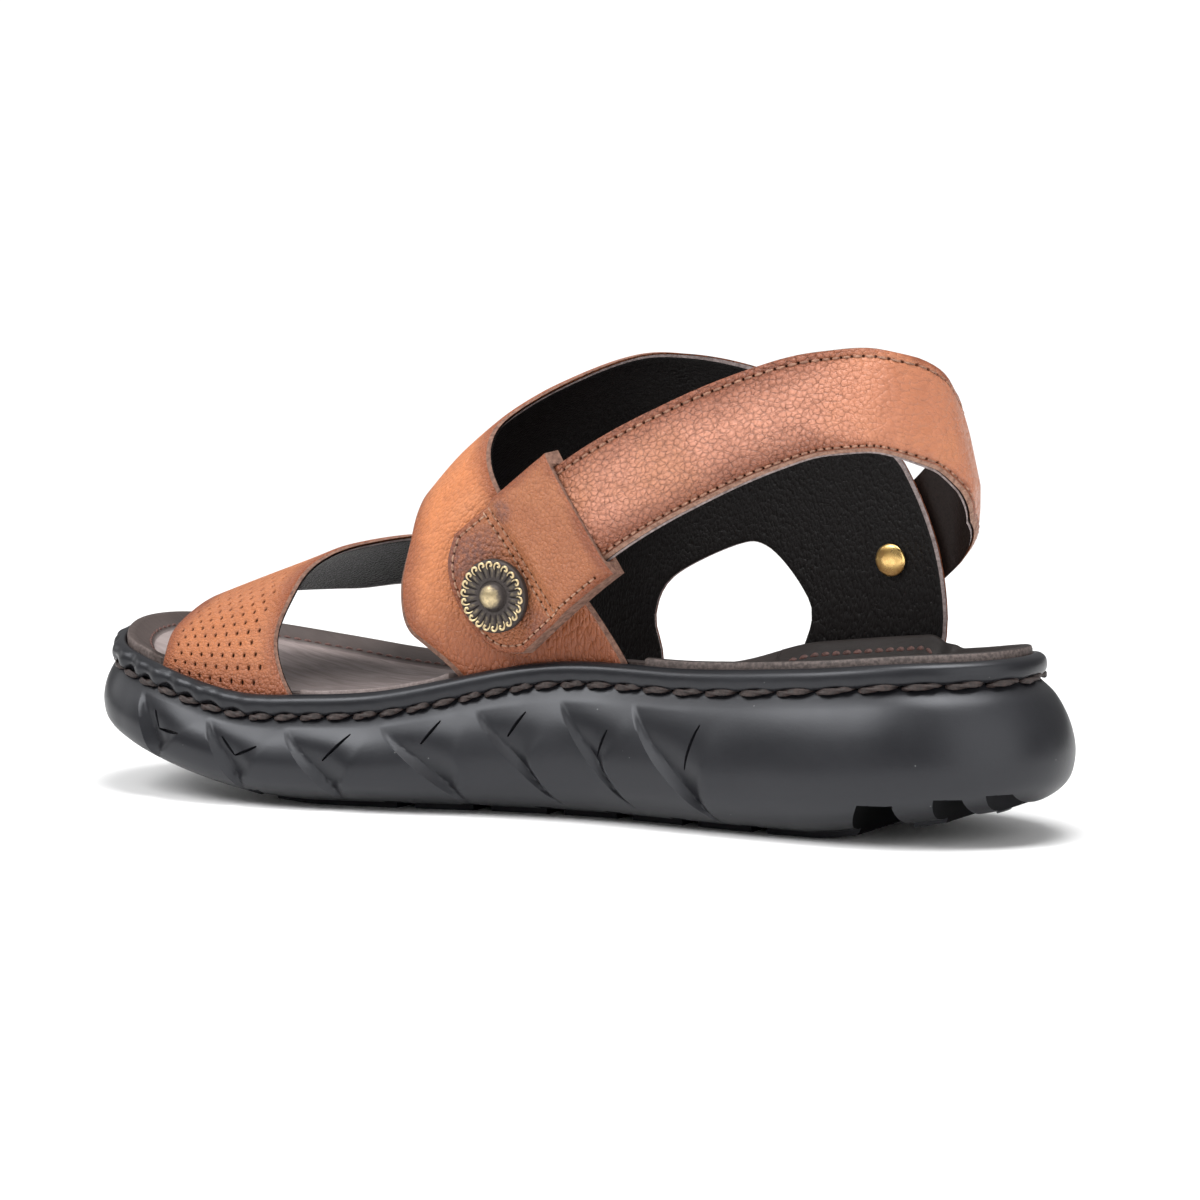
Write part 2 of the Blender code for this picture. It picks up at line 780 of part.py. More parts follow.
def make_sling_strap(material, cutters):
    """The heel strap, round at its lateral end and square in the sleeve."""
    half = STRAP_WIDTH / 2
    heel_half = STRAP_HEEL_WIDTH / 2
    heel = STRAP_LENGTH * STRAP_HEEL_SHARE
    front = STRAP_LENGTH - SLEEVE_LENGTH + POCKET_LENGTH
    border = []
    for k in range(STRAP_END_STEPS + 1):
        turn = math.pi * (0.5 + k / STRAP_END_STEPS)
        border.append(Vector((STRAP_END_ROUND * (1 + math.cos(turn)), heel_half * math.sin(turn))))
    border += [Vector((heel, -heel_half)), Vector((front, -half))]
    border += [Vector((front, half)), Vector((heel, heel_half))]
    border = with_straight_runs(border)

    def place(spot, depth):
        return strap_place(spot.x, spot.y, strap_lift(spot.x) + depth)

    return pattern_solid("sling_strap", border, place, STRAP_THICKNESS, material, cutters)


def make_sleeve(material, cutters):
    """The doubled tab, thinner where its two skins are sewn together ahead of the pocket."""
    half = SLEEVE_WIDTH / 2
    rear = STRAP_LENGTH - SLEEVE_LENGTH
    rows = [(rear + row.around * SLEEVE_LENGTH, row.height * half) for row in SLEEVE_FRONT]
    border = [Vector((rear, -half)), Vector((rear, half))] + through(rows)
    border = with_straight_runs(border)
    full = 2 * SLEEVE_SKIN + STRAP_THICKNESS + 2 * GAP

    def place(spot, depth):
        f = max(0.0, min(1.0, (spot.x - rear - POCKET_LENGTH - SLEEVE_SKIN) / SLEEVE_RAMP))
        thickness = full + (SLEEVE_FRONT_THICKNESS - full) * f * f * (3 - 2 * f)
        return strap_place(spot.x, spot.y, depth * thickness)

    return pattern_solid("sleeve", border, place, 1.0, material, cutters, SLEEVE_STEP)


def make_pocket_cutter():
    """The space in the sleeve for the strap's end."""
    half = STRAP_WIDTH / 2 + GAP
    rear = STRAP_LENGTH - SLEEVE_LENGTH - POCKET_OVERRUN
    front = STRAP_LENGTH - SLEEVE_LENGTH + POCKET_LENGTH + GAP
    border = with_straight_runs([Vector((rear, -half)), Vector((rear, half)),
                                 Vector((front, half)), Vector((front, -half))])

    def place(spot, depth):
        return strap_place(spot.x, spot.y, SLEEVE_SKIN + depth)

    return as_cutter(pattern_solid("pocket_cutter", border, place, STRAP_THICKNESS + 2 * GAP, None))


def turned(name, seat, axis, rows, tip_low, tip_high, material):
    """A turned piece about an axis: rings from low to high with a point at each end."""
    across = axis.orthogonal().normalized()
    up = axis.cross(across)
    mesh_data = bmesh.new()
    rings = []
    for row in rows:
        points = []
        for k in range(STUD_SEGMENTS):
            turn = 2 * math.pi * k / STUD_SEGMENTS
            spoke = math.cos(turn) * across + math.sin(turn) * up
            points.append(seat + axis * row.height + row.radius * spoke)
        rings.append(ring_vertices(mesh_data, points))
    for first, second in zip(rings, rings[1:]):
        join_rings(mesh_data, first, second)
    for ring, height in ((rings[0], tip_low), (rings[-1], tip_high)):
        tip = mesh_data.verts.new((seat + axis * height) * MM)
        for a, b in zip(ring, ring[1:] + ring[:1]):
            mesh_data.faces.new((a, b, tip))
    return finish_mesh(name, mesh_data, material)


def stud_axis(along, across, depth):
    """Seat of a stud on the leather's face and the direction it faces."""
    reach = STUD_CAP[1].radius
    seat = strap_place(along, across, depth)
    forward = strap_place(along + reach, across, depth) - strap_place(along - reach, across, depth)
    upward = strap_place(along, across + reach, depth) - strap_place(along, across - reach, depth)
    axis = upward.cross(forward).normalized()
    if axis.y * seat.y < 0:
        axis.negate()
    highest = 0.0
    for k in range(STUD_SEGMENTS):
        turn = 2 * math.pi * k / STUD_SEGMENTS
        rim = strap_place(along + reach * math.cos(turn), across + reach * math.sin(turn), depth)
        highest = max(highest, (rim - seat).dot(axis))
    return seat + axis * highest, axis


def leather_stack(seat, axis):
    """Depth of leather from a stud's seat down its axis to the inside of the upper."""
    side = 1 if seat.y > 0 else -1
    near, far = 0.0, STACK_LIMIT
    while far - near > STACK_STEP:
        depth = (near + far) / 2
        spot = seat - axis * depth
        if side * spot.y > upper_side(spot.x, spot.z, side, 0.0):
            near = depth
        else:
            far = depth
    return far


def make_post_hole(name, seat, axis, depth):
    """A round cutter for a stud's post."""
    low = -depth - HOLE_OVERRUN
    rows = [Turn(POST_RADIUS + GAP, low), Turn(POST_RADIUS + GAP, HOLE_OVERRUN)]
    return as_cutter(turned(name, seat, axis, rows, low, HOLE_OVERRUN, None))


def make_stud(name, seat, axis, stack, material):
    """A cap on the leather with its post through the stack of leather."""
    low = -stack - STUD_SEAT
    post = [Turn(POST_RADIUS, low), Turn(POST_RADIUS, 0.0)]
    return turned(name, seat + axis * STUD_SEAT, axis, post + STUD_CAP, low, STUD_TOP, material)


def make_rivet(name, spot, material):
    """The domed back of a stud, flat against the inside of the upper at a spot."""
    side = 1 if spot.y > 0 else -1
    slope_x = upper_side(spot.x + 1, spot.z, side, 0.0) - upper_side(spot.x - 1, spot.z, side, 0.0)
    slope_z = upper_side(spot.x, spot.z + 1, side, 0.0) - upper_side(spot.x, spot.z - 1, side, 0.0)
    axis = Vector((-slope_x / 2, side, -slope_z / 2)).normalized()
    return turned(name, spot, axis, RIVET_BACK, RIVET_TOP, RIVET_BACK[-1].height, material)


sandal = bpy.data.objects.new("sandal", None)
bpy.context.scene.collection.objects.link(sandal)

outsole = make_outsole(plain_material("outsole_rubber", (0.018, 0.019, 0.022), 0.5))
welt = make_welt(plain_material("welt_rubber", (0.016, 0.016, 0.018), 0.45))
insole = make_insole(plain_material("insole_leather", (0.060, 0.045, 0.038), 0.6))

medial_along = STRAP_LENGTH - STUD_FROM_SLEEVE_FRONT
medial_seat, medial_axis = stud_axis(medial_along, -STUD_BELOW_MIDDLE, SLEEVE_FRONT_THICKNESS)
medial_stack = leather_stack(medial_seat, medial_axis)
medial_hole = make_post_hole("medial_hole", medial_seat, medial_axis, medial_stack)
lateral_seat, lateral_axis = stud_axis(STUD_FROM_STRAP_END, 0.0, STRAP_THICKNESS)
lateral_stack = leather_stack(lateral_seat, lateral_axis)
lateral_hole = make_post_hole("lateral_hole", lateral_seat, lateral_axis, lateral_stack)

upper = make_upper(plain_material("upper_leather", (0.48, 0.20, 0.085), 0.5), [medial_hole, lateral_hole])
sling_strap = make_sling_strap(plain_material("strap_leather", (0.47, 0.19, 0.08), 0.5), [lateral_hole])
sleeve_cutters = [make_pocket_cutter(), medial_hole]
sleeve = make_sleeve(plain_material("sleeve_leather", (0.49, 0.21, 0.09), 0.5), sleeve_cutters)
for name, seat, axis, stack in (("medial", medial_seat, medial_axis, medial_stack),
                                ("lateral", lateral_seat, lateral_axis, lateral_stack)):
    antique = plain_material("stud_" + name + "_metal", (0.16, 0.12, 0.07), 0.45, 0.9)
    make_stud("stud_" + name, seat, axis, stack, antique)
    brass = plain_material("rivet_" + name + "_brass", (0.60, 0.40, 0.12), 0.3, 1.0)
    make_rivet("rivet_" + name, seat - axis * stack, brass)

# The frame's origin is on the floor under the middle of the sole
sole_x = [vertex.co.x for vertex in outsole.data.vertices]
sole_y = [vertex.co.y for vertex in outsole.data.vertices]
sandal.location = (-(min(sole_x) + max(sole_x)) / 2, -(min(sole_y) + max(sole_y)) / 2, 0.0)
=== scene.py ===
import math
from collections import namedtuple

import bpy
import numpy as np
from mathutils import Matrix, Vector
from mathutils.geometry import delaunay_2d_cdt


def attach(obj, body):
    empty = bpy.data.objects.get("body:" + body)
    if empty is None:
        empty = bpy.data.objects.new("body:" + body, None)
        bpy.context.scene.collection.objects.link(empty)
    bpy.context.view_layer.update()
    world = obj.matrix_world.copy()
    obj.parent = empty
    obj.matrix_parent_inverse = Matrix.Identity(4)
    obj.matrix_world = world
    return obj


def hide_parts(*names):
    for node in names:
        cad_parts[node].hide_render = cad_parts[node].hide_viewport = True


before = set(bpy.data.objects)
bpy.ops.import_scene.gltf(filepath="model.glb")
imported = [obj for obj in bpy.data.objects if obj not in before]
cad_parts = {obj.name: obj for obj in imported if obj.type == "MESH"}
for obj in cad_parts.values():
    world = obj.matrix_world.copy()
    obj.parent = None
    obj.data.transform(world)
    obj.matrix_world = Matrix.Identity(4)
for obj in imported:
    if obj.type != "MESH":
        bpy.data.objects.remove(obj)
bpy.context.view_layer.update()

# Outsole
# One moulded unit of black foam rubber, cupped under the foot. Its side bulges, steps in behind slanting
# creases as scales do, and ends in a smooth lobe round the heel. Bars across the underside leave the lugs.
MM = 0.001


def table(columns, *rows):
    """The rows of a table with named columns."""
    kind = namedtuple("Row", columns)
    return [kind(*row) for row in rows]


SHOE_MIDDLE = np.array((2.55, -1.362, 0.0))
SEAM_HALF = 138.0
HEEL_RADIUS = 22.0
TOE_RADIUS = 46.0
SEAM_PLAN = table("x half_width centre",
    (-109, 29.3, -0.3), (-79, 32.4, -0.7), (-49, 31.9, -2.0), (-19, 31.5, -3.3), (11, 35.0, -2.8), (41, 41.6, -1.1),
    (66, 44.9, 0.5), (86, 45.1, 2.5), (104, 42.0, 5.1), (119, 36.1, 7.7), (129, 28.2, 9.4))
SEAM_PROBE = 0.004
HEEL_CENTRE = 0.0
TOE_CENTRE = 10.5
SOLE_RISE = table("x seam_medial seam_lateral underside step bulge",
    (-138, 44.0, 44.0, 7.5, 1.4, 9.6), (-112, 43.0, 39.6, 4.0, 1.6, 8.4), (-85, 40.5, 36.5, 0.0, 2.0, 7.0),
    (-50, 38.0, 32.2, 0.0, 2.0, 6.0), (-5, 37.0, 27.4, 0.0, 2.0, 5.5), (40, 27.6, 25.5, 0.0, 2.0, 5.5),
    (62, 25.6, 25.8, 0.0, 1.8, 5.5), (85, 25.4, 27.6, 2.8, 1.2, 5.0), (120, 33.6, 33.4, 12.5, 0.8, 4.0),
    (138, 38.5, 38.5, 21.0, 0.8, 4.5))
SOLE_SIDE = table("x drop out tuck swell",
    (0, 0.00, -0.12, 0.00, 0.0), (1, 0.03, 0.00, 0.00, 0.0), (2, 0.14, 0.42, 0.00, 0.1), (3, 0.30, 0.76, 0.00, 0.7),
    (4, 0.47, 0.96, 0.00, 1.0), (5, 0.62, 1.00, 0.00, 1.0), (6, 0.78, 0.86, 0.00, 1.0), (7, 0.89, 0.55, 0.10, 0.9),
    (8, 0.97, 0.20, 0.45, 0.6), (9, 1.00, 0.00, 1.00, 0.2))
TUCK = 5.0
TREAD_OUT = -7.5
TREAD_DRAFT = 0.5
SHELF_INSET = 1.4
BED_INSET = 16.0
BED_DISH = 1.0
CREASES = table("x narrowed",
    (115, 1.0), (92.5, 1.0), (69, 1.0), (41.5, 1.0), (15.5, 0.50), (-9, 0.40), (-32, 0.95))
HEEL_LOBE_START = -66
CREASE_SWEEP = 29.0
SWEEP_POWER = 1.6
SWEEP_TOE_FADE = 110.0
SWEEP_HEEL_FADE = 90.0
CREASE_FOLD = table("x depth step lobe hold",
    (0.12, 0.00, 0.5, 0.95, 1.0), (0.22, 0.25, 1.0, 0.84, 1.0), (0.35, 0.62, 1.9, 0.68, 1.1),
    (0.50, 0.95, 2.8, 0.50, 1.5), (0.65, 1.00, 3.0, 0.34, 2.2), (0.75, 0.95, 2.6, 0.21, 2.6),
    (0.86, 0.70, 1.8, 0.11, 2.6), (0.95, 0.30, 1.0, 0.05, 2.0), (1.00, 0.10, 0.6, 0.03, 2.0))
NARROW_FROM = 0.35
NARROW_TO = 0.65
LEAST_LOBE = 0.5
CREASE_DEPTH = 3.0
SCALE_SWELL = 1.0
SCALE_REAR = -72.0
SCALE_FRONT = 130.0
SCALE_STEP = 0.72
PLAIN_STEP = 0.012
SIDE_ROWS = 62
MERGED = 0.02
CAP_ROWS = 9
TREAD_GROOVES = table("x width depth flare reach",
    (-137.5, 5.0, 7.5, 2.0, 12.0), (-126.5, 6.5, 8.0, 3.0, 12.0), (-108.0, 9.0, 8.5, 5.0, 12.0),
    (-68, 5.0, 3.0, 0.0, -5.0), (-46, 5.0, 3.0, 0.0, -5.0), (-25, 5.0, 3.0, 0.0, -5.0), (-4, 5.0, 3.0, 0.0, -5.0),
    (17, 5.0, 3.0, 0.0, -5.0), (38, 5.0, 3.0, 0.0, -5.0), (78, 5.0, 3.0, 0.0, -5.0), (92, 5.0, 2.0, 0.0, -5.0),
    (106, 4.0, 1.5, 0.0, -5.0))
GROOVE_CUT_FROM = -10.0
GROOVE_PLAY = 0.05
HEEL_TURN = -118.0
SLITS = table("crease from_behind from_drop to_behind to_drop",
    (0, 0.22, 0.27, 0.23, 0.50), (0, 0.23, 0.50, 0.57, 0.43), (1, 0.17, 0.30, 0.25, 0.50),
    (1, 0.25, 0.50, 0.61, 0.34), (2, 0.68, 0.19, 0.23, 0.49), (3, 0.61, 0.16, 0.27, 0.36),
    (4, 0.56, 0.19, 0.19, 0.38), (5, 0.54, 0.32, 0.16, 0.53), (6, 0.61, 0.23, 0.22, 0.57))
SLIT_WIDTH = 0.42
SLIT_DEPTH = 1.1
SLIT_STEPS = 7
SLIT_ABOVE = 1.5
SLIT_MOUTH = 2.4
SLIT_FLOOR = 0.1
SLIT_TIP = 0.06
AHEAD_PROBE = 0.3
DOWN_PROBE = 0.05


def curve(rows, column, x):
    """A table's column at x, on a smooth curve through its rows."""
    xs = np.array([row.x for row in rows], float)
    ys = np.array([getattr(row, column) for row in rows], float)
    slopes = np.empty_like(ys)
    slopes[1:-1] = (ys[2:] - ys[:-2]) / (xs[2:] - xs[:-2])
    slopes[0] = (ys[1] - ys[0]) / (xs[1] - xs[0])
    slopes[-1] = (ys[-1] - ys[-2]) / (xs[-1] - xs[-2])
    x = np.clip(x, xs[0], xs[-1])
    i = np.clip(np.searchsorted(xs, x, side="right") - 1, 0, len(xs) - 2)
    width = xs[i + 1] - xs[i]
    f = (x - xs[i]) / width
    start = ys[i] * (1 + 2 * f) * (1 - f) ** 2 + slopes[i] * width * f * (1 - f) ** 2
    end = ys[i + 1] * f * f * (3 - 2 * f) - slopes[i + 1] * width * f * f * (1 - f)
    return start + end


def unit(arrows):
    """Arrows brought to length one."""
    return arrows / np.linalg.norm(arrows, axis=-1, keepdims=True)


def with_height(spots, height):
    """Plan spots with a height added."""
    return np.concatenate((spots, height[..., None]), axis=-1)


def soft(low, high, value):
    """A soft step from 0 at low to 1 at high."""
    f = np.clip((value - low) / (high - low), 0.0, 1.0)
    return f * f * (3 - 2 * f)


def fullness_rows():
    """Half widths as shares of an ellipse, so that the seam closes roundly at heel and toe."""
    rows = [(row.x, row.half_width / math.sqrt(1 - (row.x / SEAM_HALF) ** 2), row.centre) for row in SEAM_PLAN]
    heel = (-SEAM_HALF, math.sqrt(HEEL_RADIUS * SEAM_HALF), HEEL_CENTRE)
    toe = (SEAM_HALF, math.sqrt(TOE_RADIUS * SEAM_HALF), TOE_CENTRE)
    return table("x fullness centre", heel, *rows, toe)


FULLNESS = fullness_rows()


def station(phi):
    """Station along the shoe of a seam angle: phi is 0 at the toe, positive on the medial side and pi at the heel."""
    return SEAM_HALF * np.cos(phi)


def outline(phi):
    """Plan of the welt seam."""
    x = station(phi)
    y = curve(FULLNESS, "centre", x) + curve(FULLNESS, "fullness", x) * np.sin(phi)
    return np.stack((x, y), axis=-1)


def seam_point(phi, out):
    """The seam moved out, square to itself."""
    along = unit(outline(phi + SEAM_PROBE) - outline(phi - SEAM_PROBE))
    square = np.stack((along[..., 1], -along[..., 0]), axis=-1)
    return outline(phi) + np.asarray(out)[..., None] * square


def seam_height(phi):
    """Height of the seam above the floor."""
    x = station(phi)
    medial = curve(SOLE_RISE, "seam_medial", x)
    return np.where(np.sin(phi) >= 0, medial, curve(SOLE_RISE, "seam_lateral", x))


def underside(x):
    """Height of the tread: flat under heel and forefoot, sprung at the toe, rolled at the heel."""
    return np.maximum(0.0, curve(SOLE_RISE, "underside", x))


def phi_at(x, side):
    """Angle of the seam at station x, on a side."""
    return side * np.arccos(np.clip(x / SEAM_HALF, -1.0, 1.0))


def swept_station(x, drop):
    """Station of a column lower down the side: creases sweep back, less at the toe and heel."""
    toe_fade = np.minimum(1.0, (SEAM_HALF - x) / SWEEP_TOE_FADE)
    heel_fade = np.minimum(1.0, (x + SEAM_HALF) / SWEEP_HEEL_FADE)
    return x - CREASE_SWEEP * toe_fade * heel_fade * drop ** SWEEP_POWER


def crease_gaps():
    """Room behind each crease, up to the next one."""
    ends = [crease.x for crease in CREASES] + [HEEL_LOBE_START]
    return [front - rear for front, rear in zip(ends, ends[1:])]


def side_relief(x, drop):
    """How far the side steps in behind each crease, up to the lobe of the next scale."""
    depth = curve(CREASE_FOLD, "depth", drop)
    step = curve(CREASE_FOLD, "step", drop)
    hold = curve(CREASE_FOLD, "hold", drop)
    total = np.zeros(np.broadcast(x, drop).shape)
    for crease, gap in zip(CREASES, crease_gaps()):
        behind = crease.x - x
        narrowed = 1 + (crease.narrowed - 1) * soft(NARROW_FROM, NARROW_TO, drop)
        lobe = np.maximum(LEAST_LOBE, gap * curve(CREASE_FOLD, "lobe", drop) * narrowed)
        facet = np.clip(behind / step, 0.0, 1.0)
        total -= depth * facet * (1 - np.clip(behind / lobe, 0.0, 1.0) ** hold)
    return CREASE_DEPTH * total


def sole_side(x_top, side, level):
    """Points of the sole's side: x_top is the station at the top, level runs down the rows of its table."""
    drop = curve(SOLE_SIDE, "drop", level)
    phi = phi_at(swept_station(x_top, drop), side)
    x = station(phi)
    low = underside(x) + curve(SOLE_RISE, "step", x)
    height = seam_height(phi) + (low - seam_height(phi)) * drop
    scales = soft(HEEL_LOBE_START, CREASES[-1].x, x_top) * (1 - soft(CREASES[0].x, SEAM_HALF, x_top))
    out = curve(SOLE_SIDE, "out", level) * curve(SOLE_RISE, "bulge", x) - curve(SOLE_SIDE, "tuck", level) * TUCK
    out = out + curve(SOLE_SIDE, "swell", level) * SCALE_SWELL * scales + side_relief(x_top, drop)
    return with_height(seam_point(phi, out), height)


def ring_angles(columns):
    """Angles of the columns of a closed ring, with the first one again at the end."""
    return np.linspace(0.0, 2 * math.pi, columns + 1)


def sole_angles():
    """Seam angles of the sole's columns: close together along the scales, wider round toe and heel."""
    front = np.arange(0.0, math.acos(SCALE_FRONT / SEAM_HALF), PLAIN_STEP)
    stations = np.arange(SCALE_FRONT, SCALE_REAR, -SCALE_STEP)
    for crease in CREASES:
        stations[np.argmin(np.abs(stations - crease.x))] = crease.x
    scales = np.arccos(stations / SEAM_HALF)
    rear = np.arange(math.acos(SCALE_REAR / SEAM_HALF), math.pi, PLAIN_STEP)
    half = np.concatenate((front, scales, rear, [math.pi]))
    return np.concatenate((half, 2 * math.pi - half[-2::-1]))


def towards_middle(ring, share):
    """A ring drawn in to the line midway between its two sides."""
    return ring + (0.5 * (ring + ring[::-1]) - ring) * share


def sole_rings():
    """Rows of points of the whole unit: bed, shelf, side, step and tread, closed on the middle line."""
    top = sole_angles()
    side = np.where(top <= math.pi, 1.0, -1.0)
    x_top = station(top)
    rings = []

    def closed_in(phi, out, height, share):
        return towards_middle(with_height(seam_point(phi, np.full_like(phi, out)), height), share)

    for share in np.linspace(1.0, 0.0, CAP_ROWS):
        rings.append(closed_in(top, -BED_INSET, seam_height(top) - BED_DISH, share))
    rings.append(closed_in(top, -SHELF_INSET, seam_height(top), 0.0))
    for level in np.linspace(0.0, SOLE_SIDE[-1].x, SIDE_ROWS):
        rings.append(sole_side(x_top, side, np.full_like(x_top, level)))
    low = phi_at(swept_station(x_top, np.ones_like(x_top)), side)
    low_x = station(low)
    step = curve(SOLE_RISE, "step", low_x)
    rings.append(closed_in(low, TREAD_OUT + TREAD_DRAFT, underside(low_x) + step, 0.0))
    for share in np.linspace(0.0, 1.0, CAP_ROWS):
        rings.append(closed_in(low, TREAD_OUT, underside(low_x), share))
    return np.array(rings)


def added(primitive, **sizes):
    """Add a primitive with nothing else selected."""
    bpy.ops.object.select_all(action="DESELECT")
    primitive(**sizes)
    return bpy.context.object


def laid_grid(name, points):
    """Add a grid and lay its vertices on rows of points, given in millimetres."""
    rows, columns = points.shape[:2]
    piece = added(bpy.ops.mesh.primitive_grid_add, x_subdivisions=columns - 1, y_subdivisions=rows - 1, size=1.0)
    piece.name = name
    piece.data.name = name
    flat = np.empty(len(piece.data.vertices) * 3)
    piece.data.vertices.foreach_get("co", flat)
    flat = flat.reshape(-1, 3)
    column = np.rint((flat[:, 0] + 0.5) * (columns - 1)).astype(int)
    row = np.rint((flat[:, 1] + 0.5) * (rows - 1)).astype(int)
    piece.data.vertices.foreach_set("co", ((points[row, column] + SHOE_MIDDLE) * MM).ravel())
    return piece


def capped(rows):
    """Rows of points, closed at both ends on the middle of the row there."""
    rows = np.array(rows)
    first, last = (np.repeat(row.mean(axis=0)[None, None], rows.shape[1], axis=1) for row in (rows[0], rows[-1]))
    return np.concatenate((first, rows, last))


def pick(*pieces):
    """Select some pieces only, the first of them active."""
    bpy.ops.object.select_all(action="DESELECT")
    for piece in pieces:
        piece.select_set(True)
    bpy.context.view_layer.objects.active = pieces[0]


def close_up(piece, angle):
    """Merge the rows that meet, turn the faces outwards and smooth what is no edge."""
    pick(piece)
    bpy.ops.object.mode_set(mode="EDIT")
    bpy.ops.mesh.select_all(action="SELECT")
    bpy.ops.mesh.remove_doubles(threshold=MERGED * MM)
    bpy.ops.mesh.normals_make_consistent(inside=False)
    bpy.ops.object.mode_set(mode="OBJECT")
    bpy.ops.object.shade_smooth_by_angle(angle=math.radians(angle))
    return piece


def cut_with(piece, cutter):
    """Cut a piece with another, which is then thrown away."""
    cut = piece.modifiers.new("cut", "BOOLEAN")
    cut.operation = "DIFFERENCE"
    cut.solver = "EXACT"
    cut.object = cutter
    pick(piece)
    bpy.ops.object.modifier_apply(modifier=cut.name)
    bpy.data.objects.remove(cutter)


def joined(name, pieces):
    """Join pieces into one."""
    pick(*pieces)
    bpy.ops.object.join()
    pieces[0].name = name
    pieces[0].data.name = name
    return pieces[0]


def groove_top(groove):
    """How high a groove goes into the sole, above the ground."""
    return float(underside(groove.x)) + groove.depth


def tread_bars():
    """Bars across the underside for the grooves. At the heel they pass through the side and lean open to the front."""
    bars = []
    for groove in TREAD_GROOVES:
        widest = max(groove.x, HEEL_TURN)
        medial = seam_point(phi_at(widest, 1), groove.reach)
        lateral = seam_point(phi_at(widest, -1), groove.reach)
        top = groove_top(groove)
        bar = added(bpy.ops.mesh.primitive_cube_add, size=2.0)
        for vertex in bar.data.vertices:
            y = medial[1] if vertex.co.y > 0 else lateral[1]
            z = top if vertex.co.z > 0 else GROOVE_CUT_FROM
            lean = groove.flare * (top - z) / groove.depth if vertex.co.x > 0 else 0.0
            vertex.co = (np.array((groove.x + vertex.co.x * groove.width / 2 + lean, y, z)) + SHOE_MIDDLE) * MM
        bars.append(bar)
    return joined("tread_bars", bars)


def side_slits(slits):
    """Thin blades, pointed at both ends, that cut slits in the side of the shoe."""
    levels = np.linspace(0, SOLE_SIDE[-1].x, 200)
    drops = curve(SOLE_SIDE, "drop", levels)
    share = np.linspace(0.0, 1.0, SLIT_STEPS)
    blades = []
    for slit in slits:
        gap = crease_gaps()[slit.crease]
        x_top = CREASES[slit.crease].x - gap * (slit.from_behind + (slit.to_behind - slit.from_behind) * share)
        level = np.interp(slit.from_drop + (slit.to_drop - slit.from_drop) * share, drops, levels)
        width = SLIT_WIDTH * np.sqrt(np.sin(math.pi * (SLIT_TIP + (1 - 2 * SLIT_TIP) * share)))
        for side in (1.0, -1.0):
            line = sole_side(x_top, side, level)
            ahead = sole_side(x_top + AHEAD_PROBE, side, level) - sole_side(x_top - AHEAD_PROBE, side, level)
            down = sole_side(x_top, side, level + DOWN_PROBE) - sole_side(x_top, side, level - DOWN_PROBE)
            outward = unit(np.cross(ahead, down) * side)
            outward *= np.sign(np.sum(outward * (0.0, side, 0.0), axis=1, keepdims=True))
            across = unit(np.cross(np.gradient(line, axis=0), outward))
            rows = [line + outward * lift + across * (width * wide)[:, None]
                    for lift, wide in ((SLIT_ABOVE, -SLIT_MOUTH), (SLIT_ABOVE, SLIT_MOUTH), (-SLIT_DEPTH, SLIT_FLOOR),
                                       (-SLIT_DEPTH, -SLIT_FLOOR), (SLIT_ABOVE, -SLIT_MOUTH))]
            blades.append(close_up(laid_grid("blade", capped(np.array(rows).transpose(1, 0, 2))), 30))
    return joined("side_slits", blades)


def line_grooves(piece):
    """Give the faces that line the grooves the piece's second material, a near-black dull rubber that paints the shade
    in the grooves.
    """
    centres = np.empty(len(piece.data.polygons) * 3)
    piece.data.polygons.foreach_get("center", centres)
    x, _, z = (centres.reshape(-1, 3) / MM - SHOE_MIDDLE).T
    lines = np.zeros(len(x), int)
    for groove in TREAD_GROOVES:
        top = groove_top(groove)
        rear = groove.x - groove.width / 2
        front = groove.x + groove.width / 2 + groove.flare * (top - z) / groove.depth
        lines |= (x > rear - GROOVE_PLAY) & (x < front + GROOVE_PLAY) & (z < top + GROOVE_PLAY)
    piece.data.polygons.foreach_set("material_index", lines)


outsole = close_up(laid_grid("outsole_unit", sole_rings()), 40)
cut_with(outsole, tread_bars())
# Slits that meet are cut one after the other
cut_with(outsole, side_slits(SLITS[0:4:2] + SLITS[4:]))
cut_with(outsole, side_slits(SLITS[1:4:2]))
close_up(outsole, 40)


def plug(tree, socket, value):
    """Link a socket to another, or set its own value."""
    if isinstance(value, bpy.types.NodeSocket):
        tree.links.new(value, socket)
    else:
        socket.default_value = value


def feed(tree, node, **sockets):
    """Set or link a node's sockets by name."""
    for name, value in sockets.items():
        plug(tree, node.inputs[name.replace("_", " ")], value)


def put(tree, kind, settings=None, **sockets):
    """Add a node with its settings, and set or link its sockets by name."""
    node = tree.nodes.new(kind)
    for name, value in (settings or {}).items():
        setattr(node, name, value)
    feed(tree, node, **sockets)
    return node


def maths(tree, operation, *values):
    """A maths node on values or sockets."""
    node = put(tree, "ShaderNodeMath", {"operation": operation})
    for socket, value in zip(node.inputs, values):
        plug(tree, socket, value)
    return node.outputs[0]


def mixed(tree, factor, first, second):
    """Two colours mixed by a factor. Its sockets go by number, as several have the same name."""
    node = put(tree, "ShaderNodeMix", {"data_type": "RGBA"})
    for socket, value in ((0, factor), (6, first), (7, second)):
        plug(tree, node.inputs[socket], value)
    return node.outputs[2]


def on_piece(tree):
    """The place on the piece itself."""
    return put(tree, "ShaderNodeTexCoord").outputs["Object"]


def painted(tree, name):
    """A value that the mesh carries."""
    return put(tree, "ShaderNodeAttribute", {"attribute_name": name}).outputs["Fac"]


def noise(tree, place, scale, detail, roughness=0.5):
    """Clouds of a size."""
    made = put(tree, "ShaderNodeTexNoise", Vector=place, Scale=scale, Detail=detail, Roughness=roughness)
    return made.outputs["Fac"]


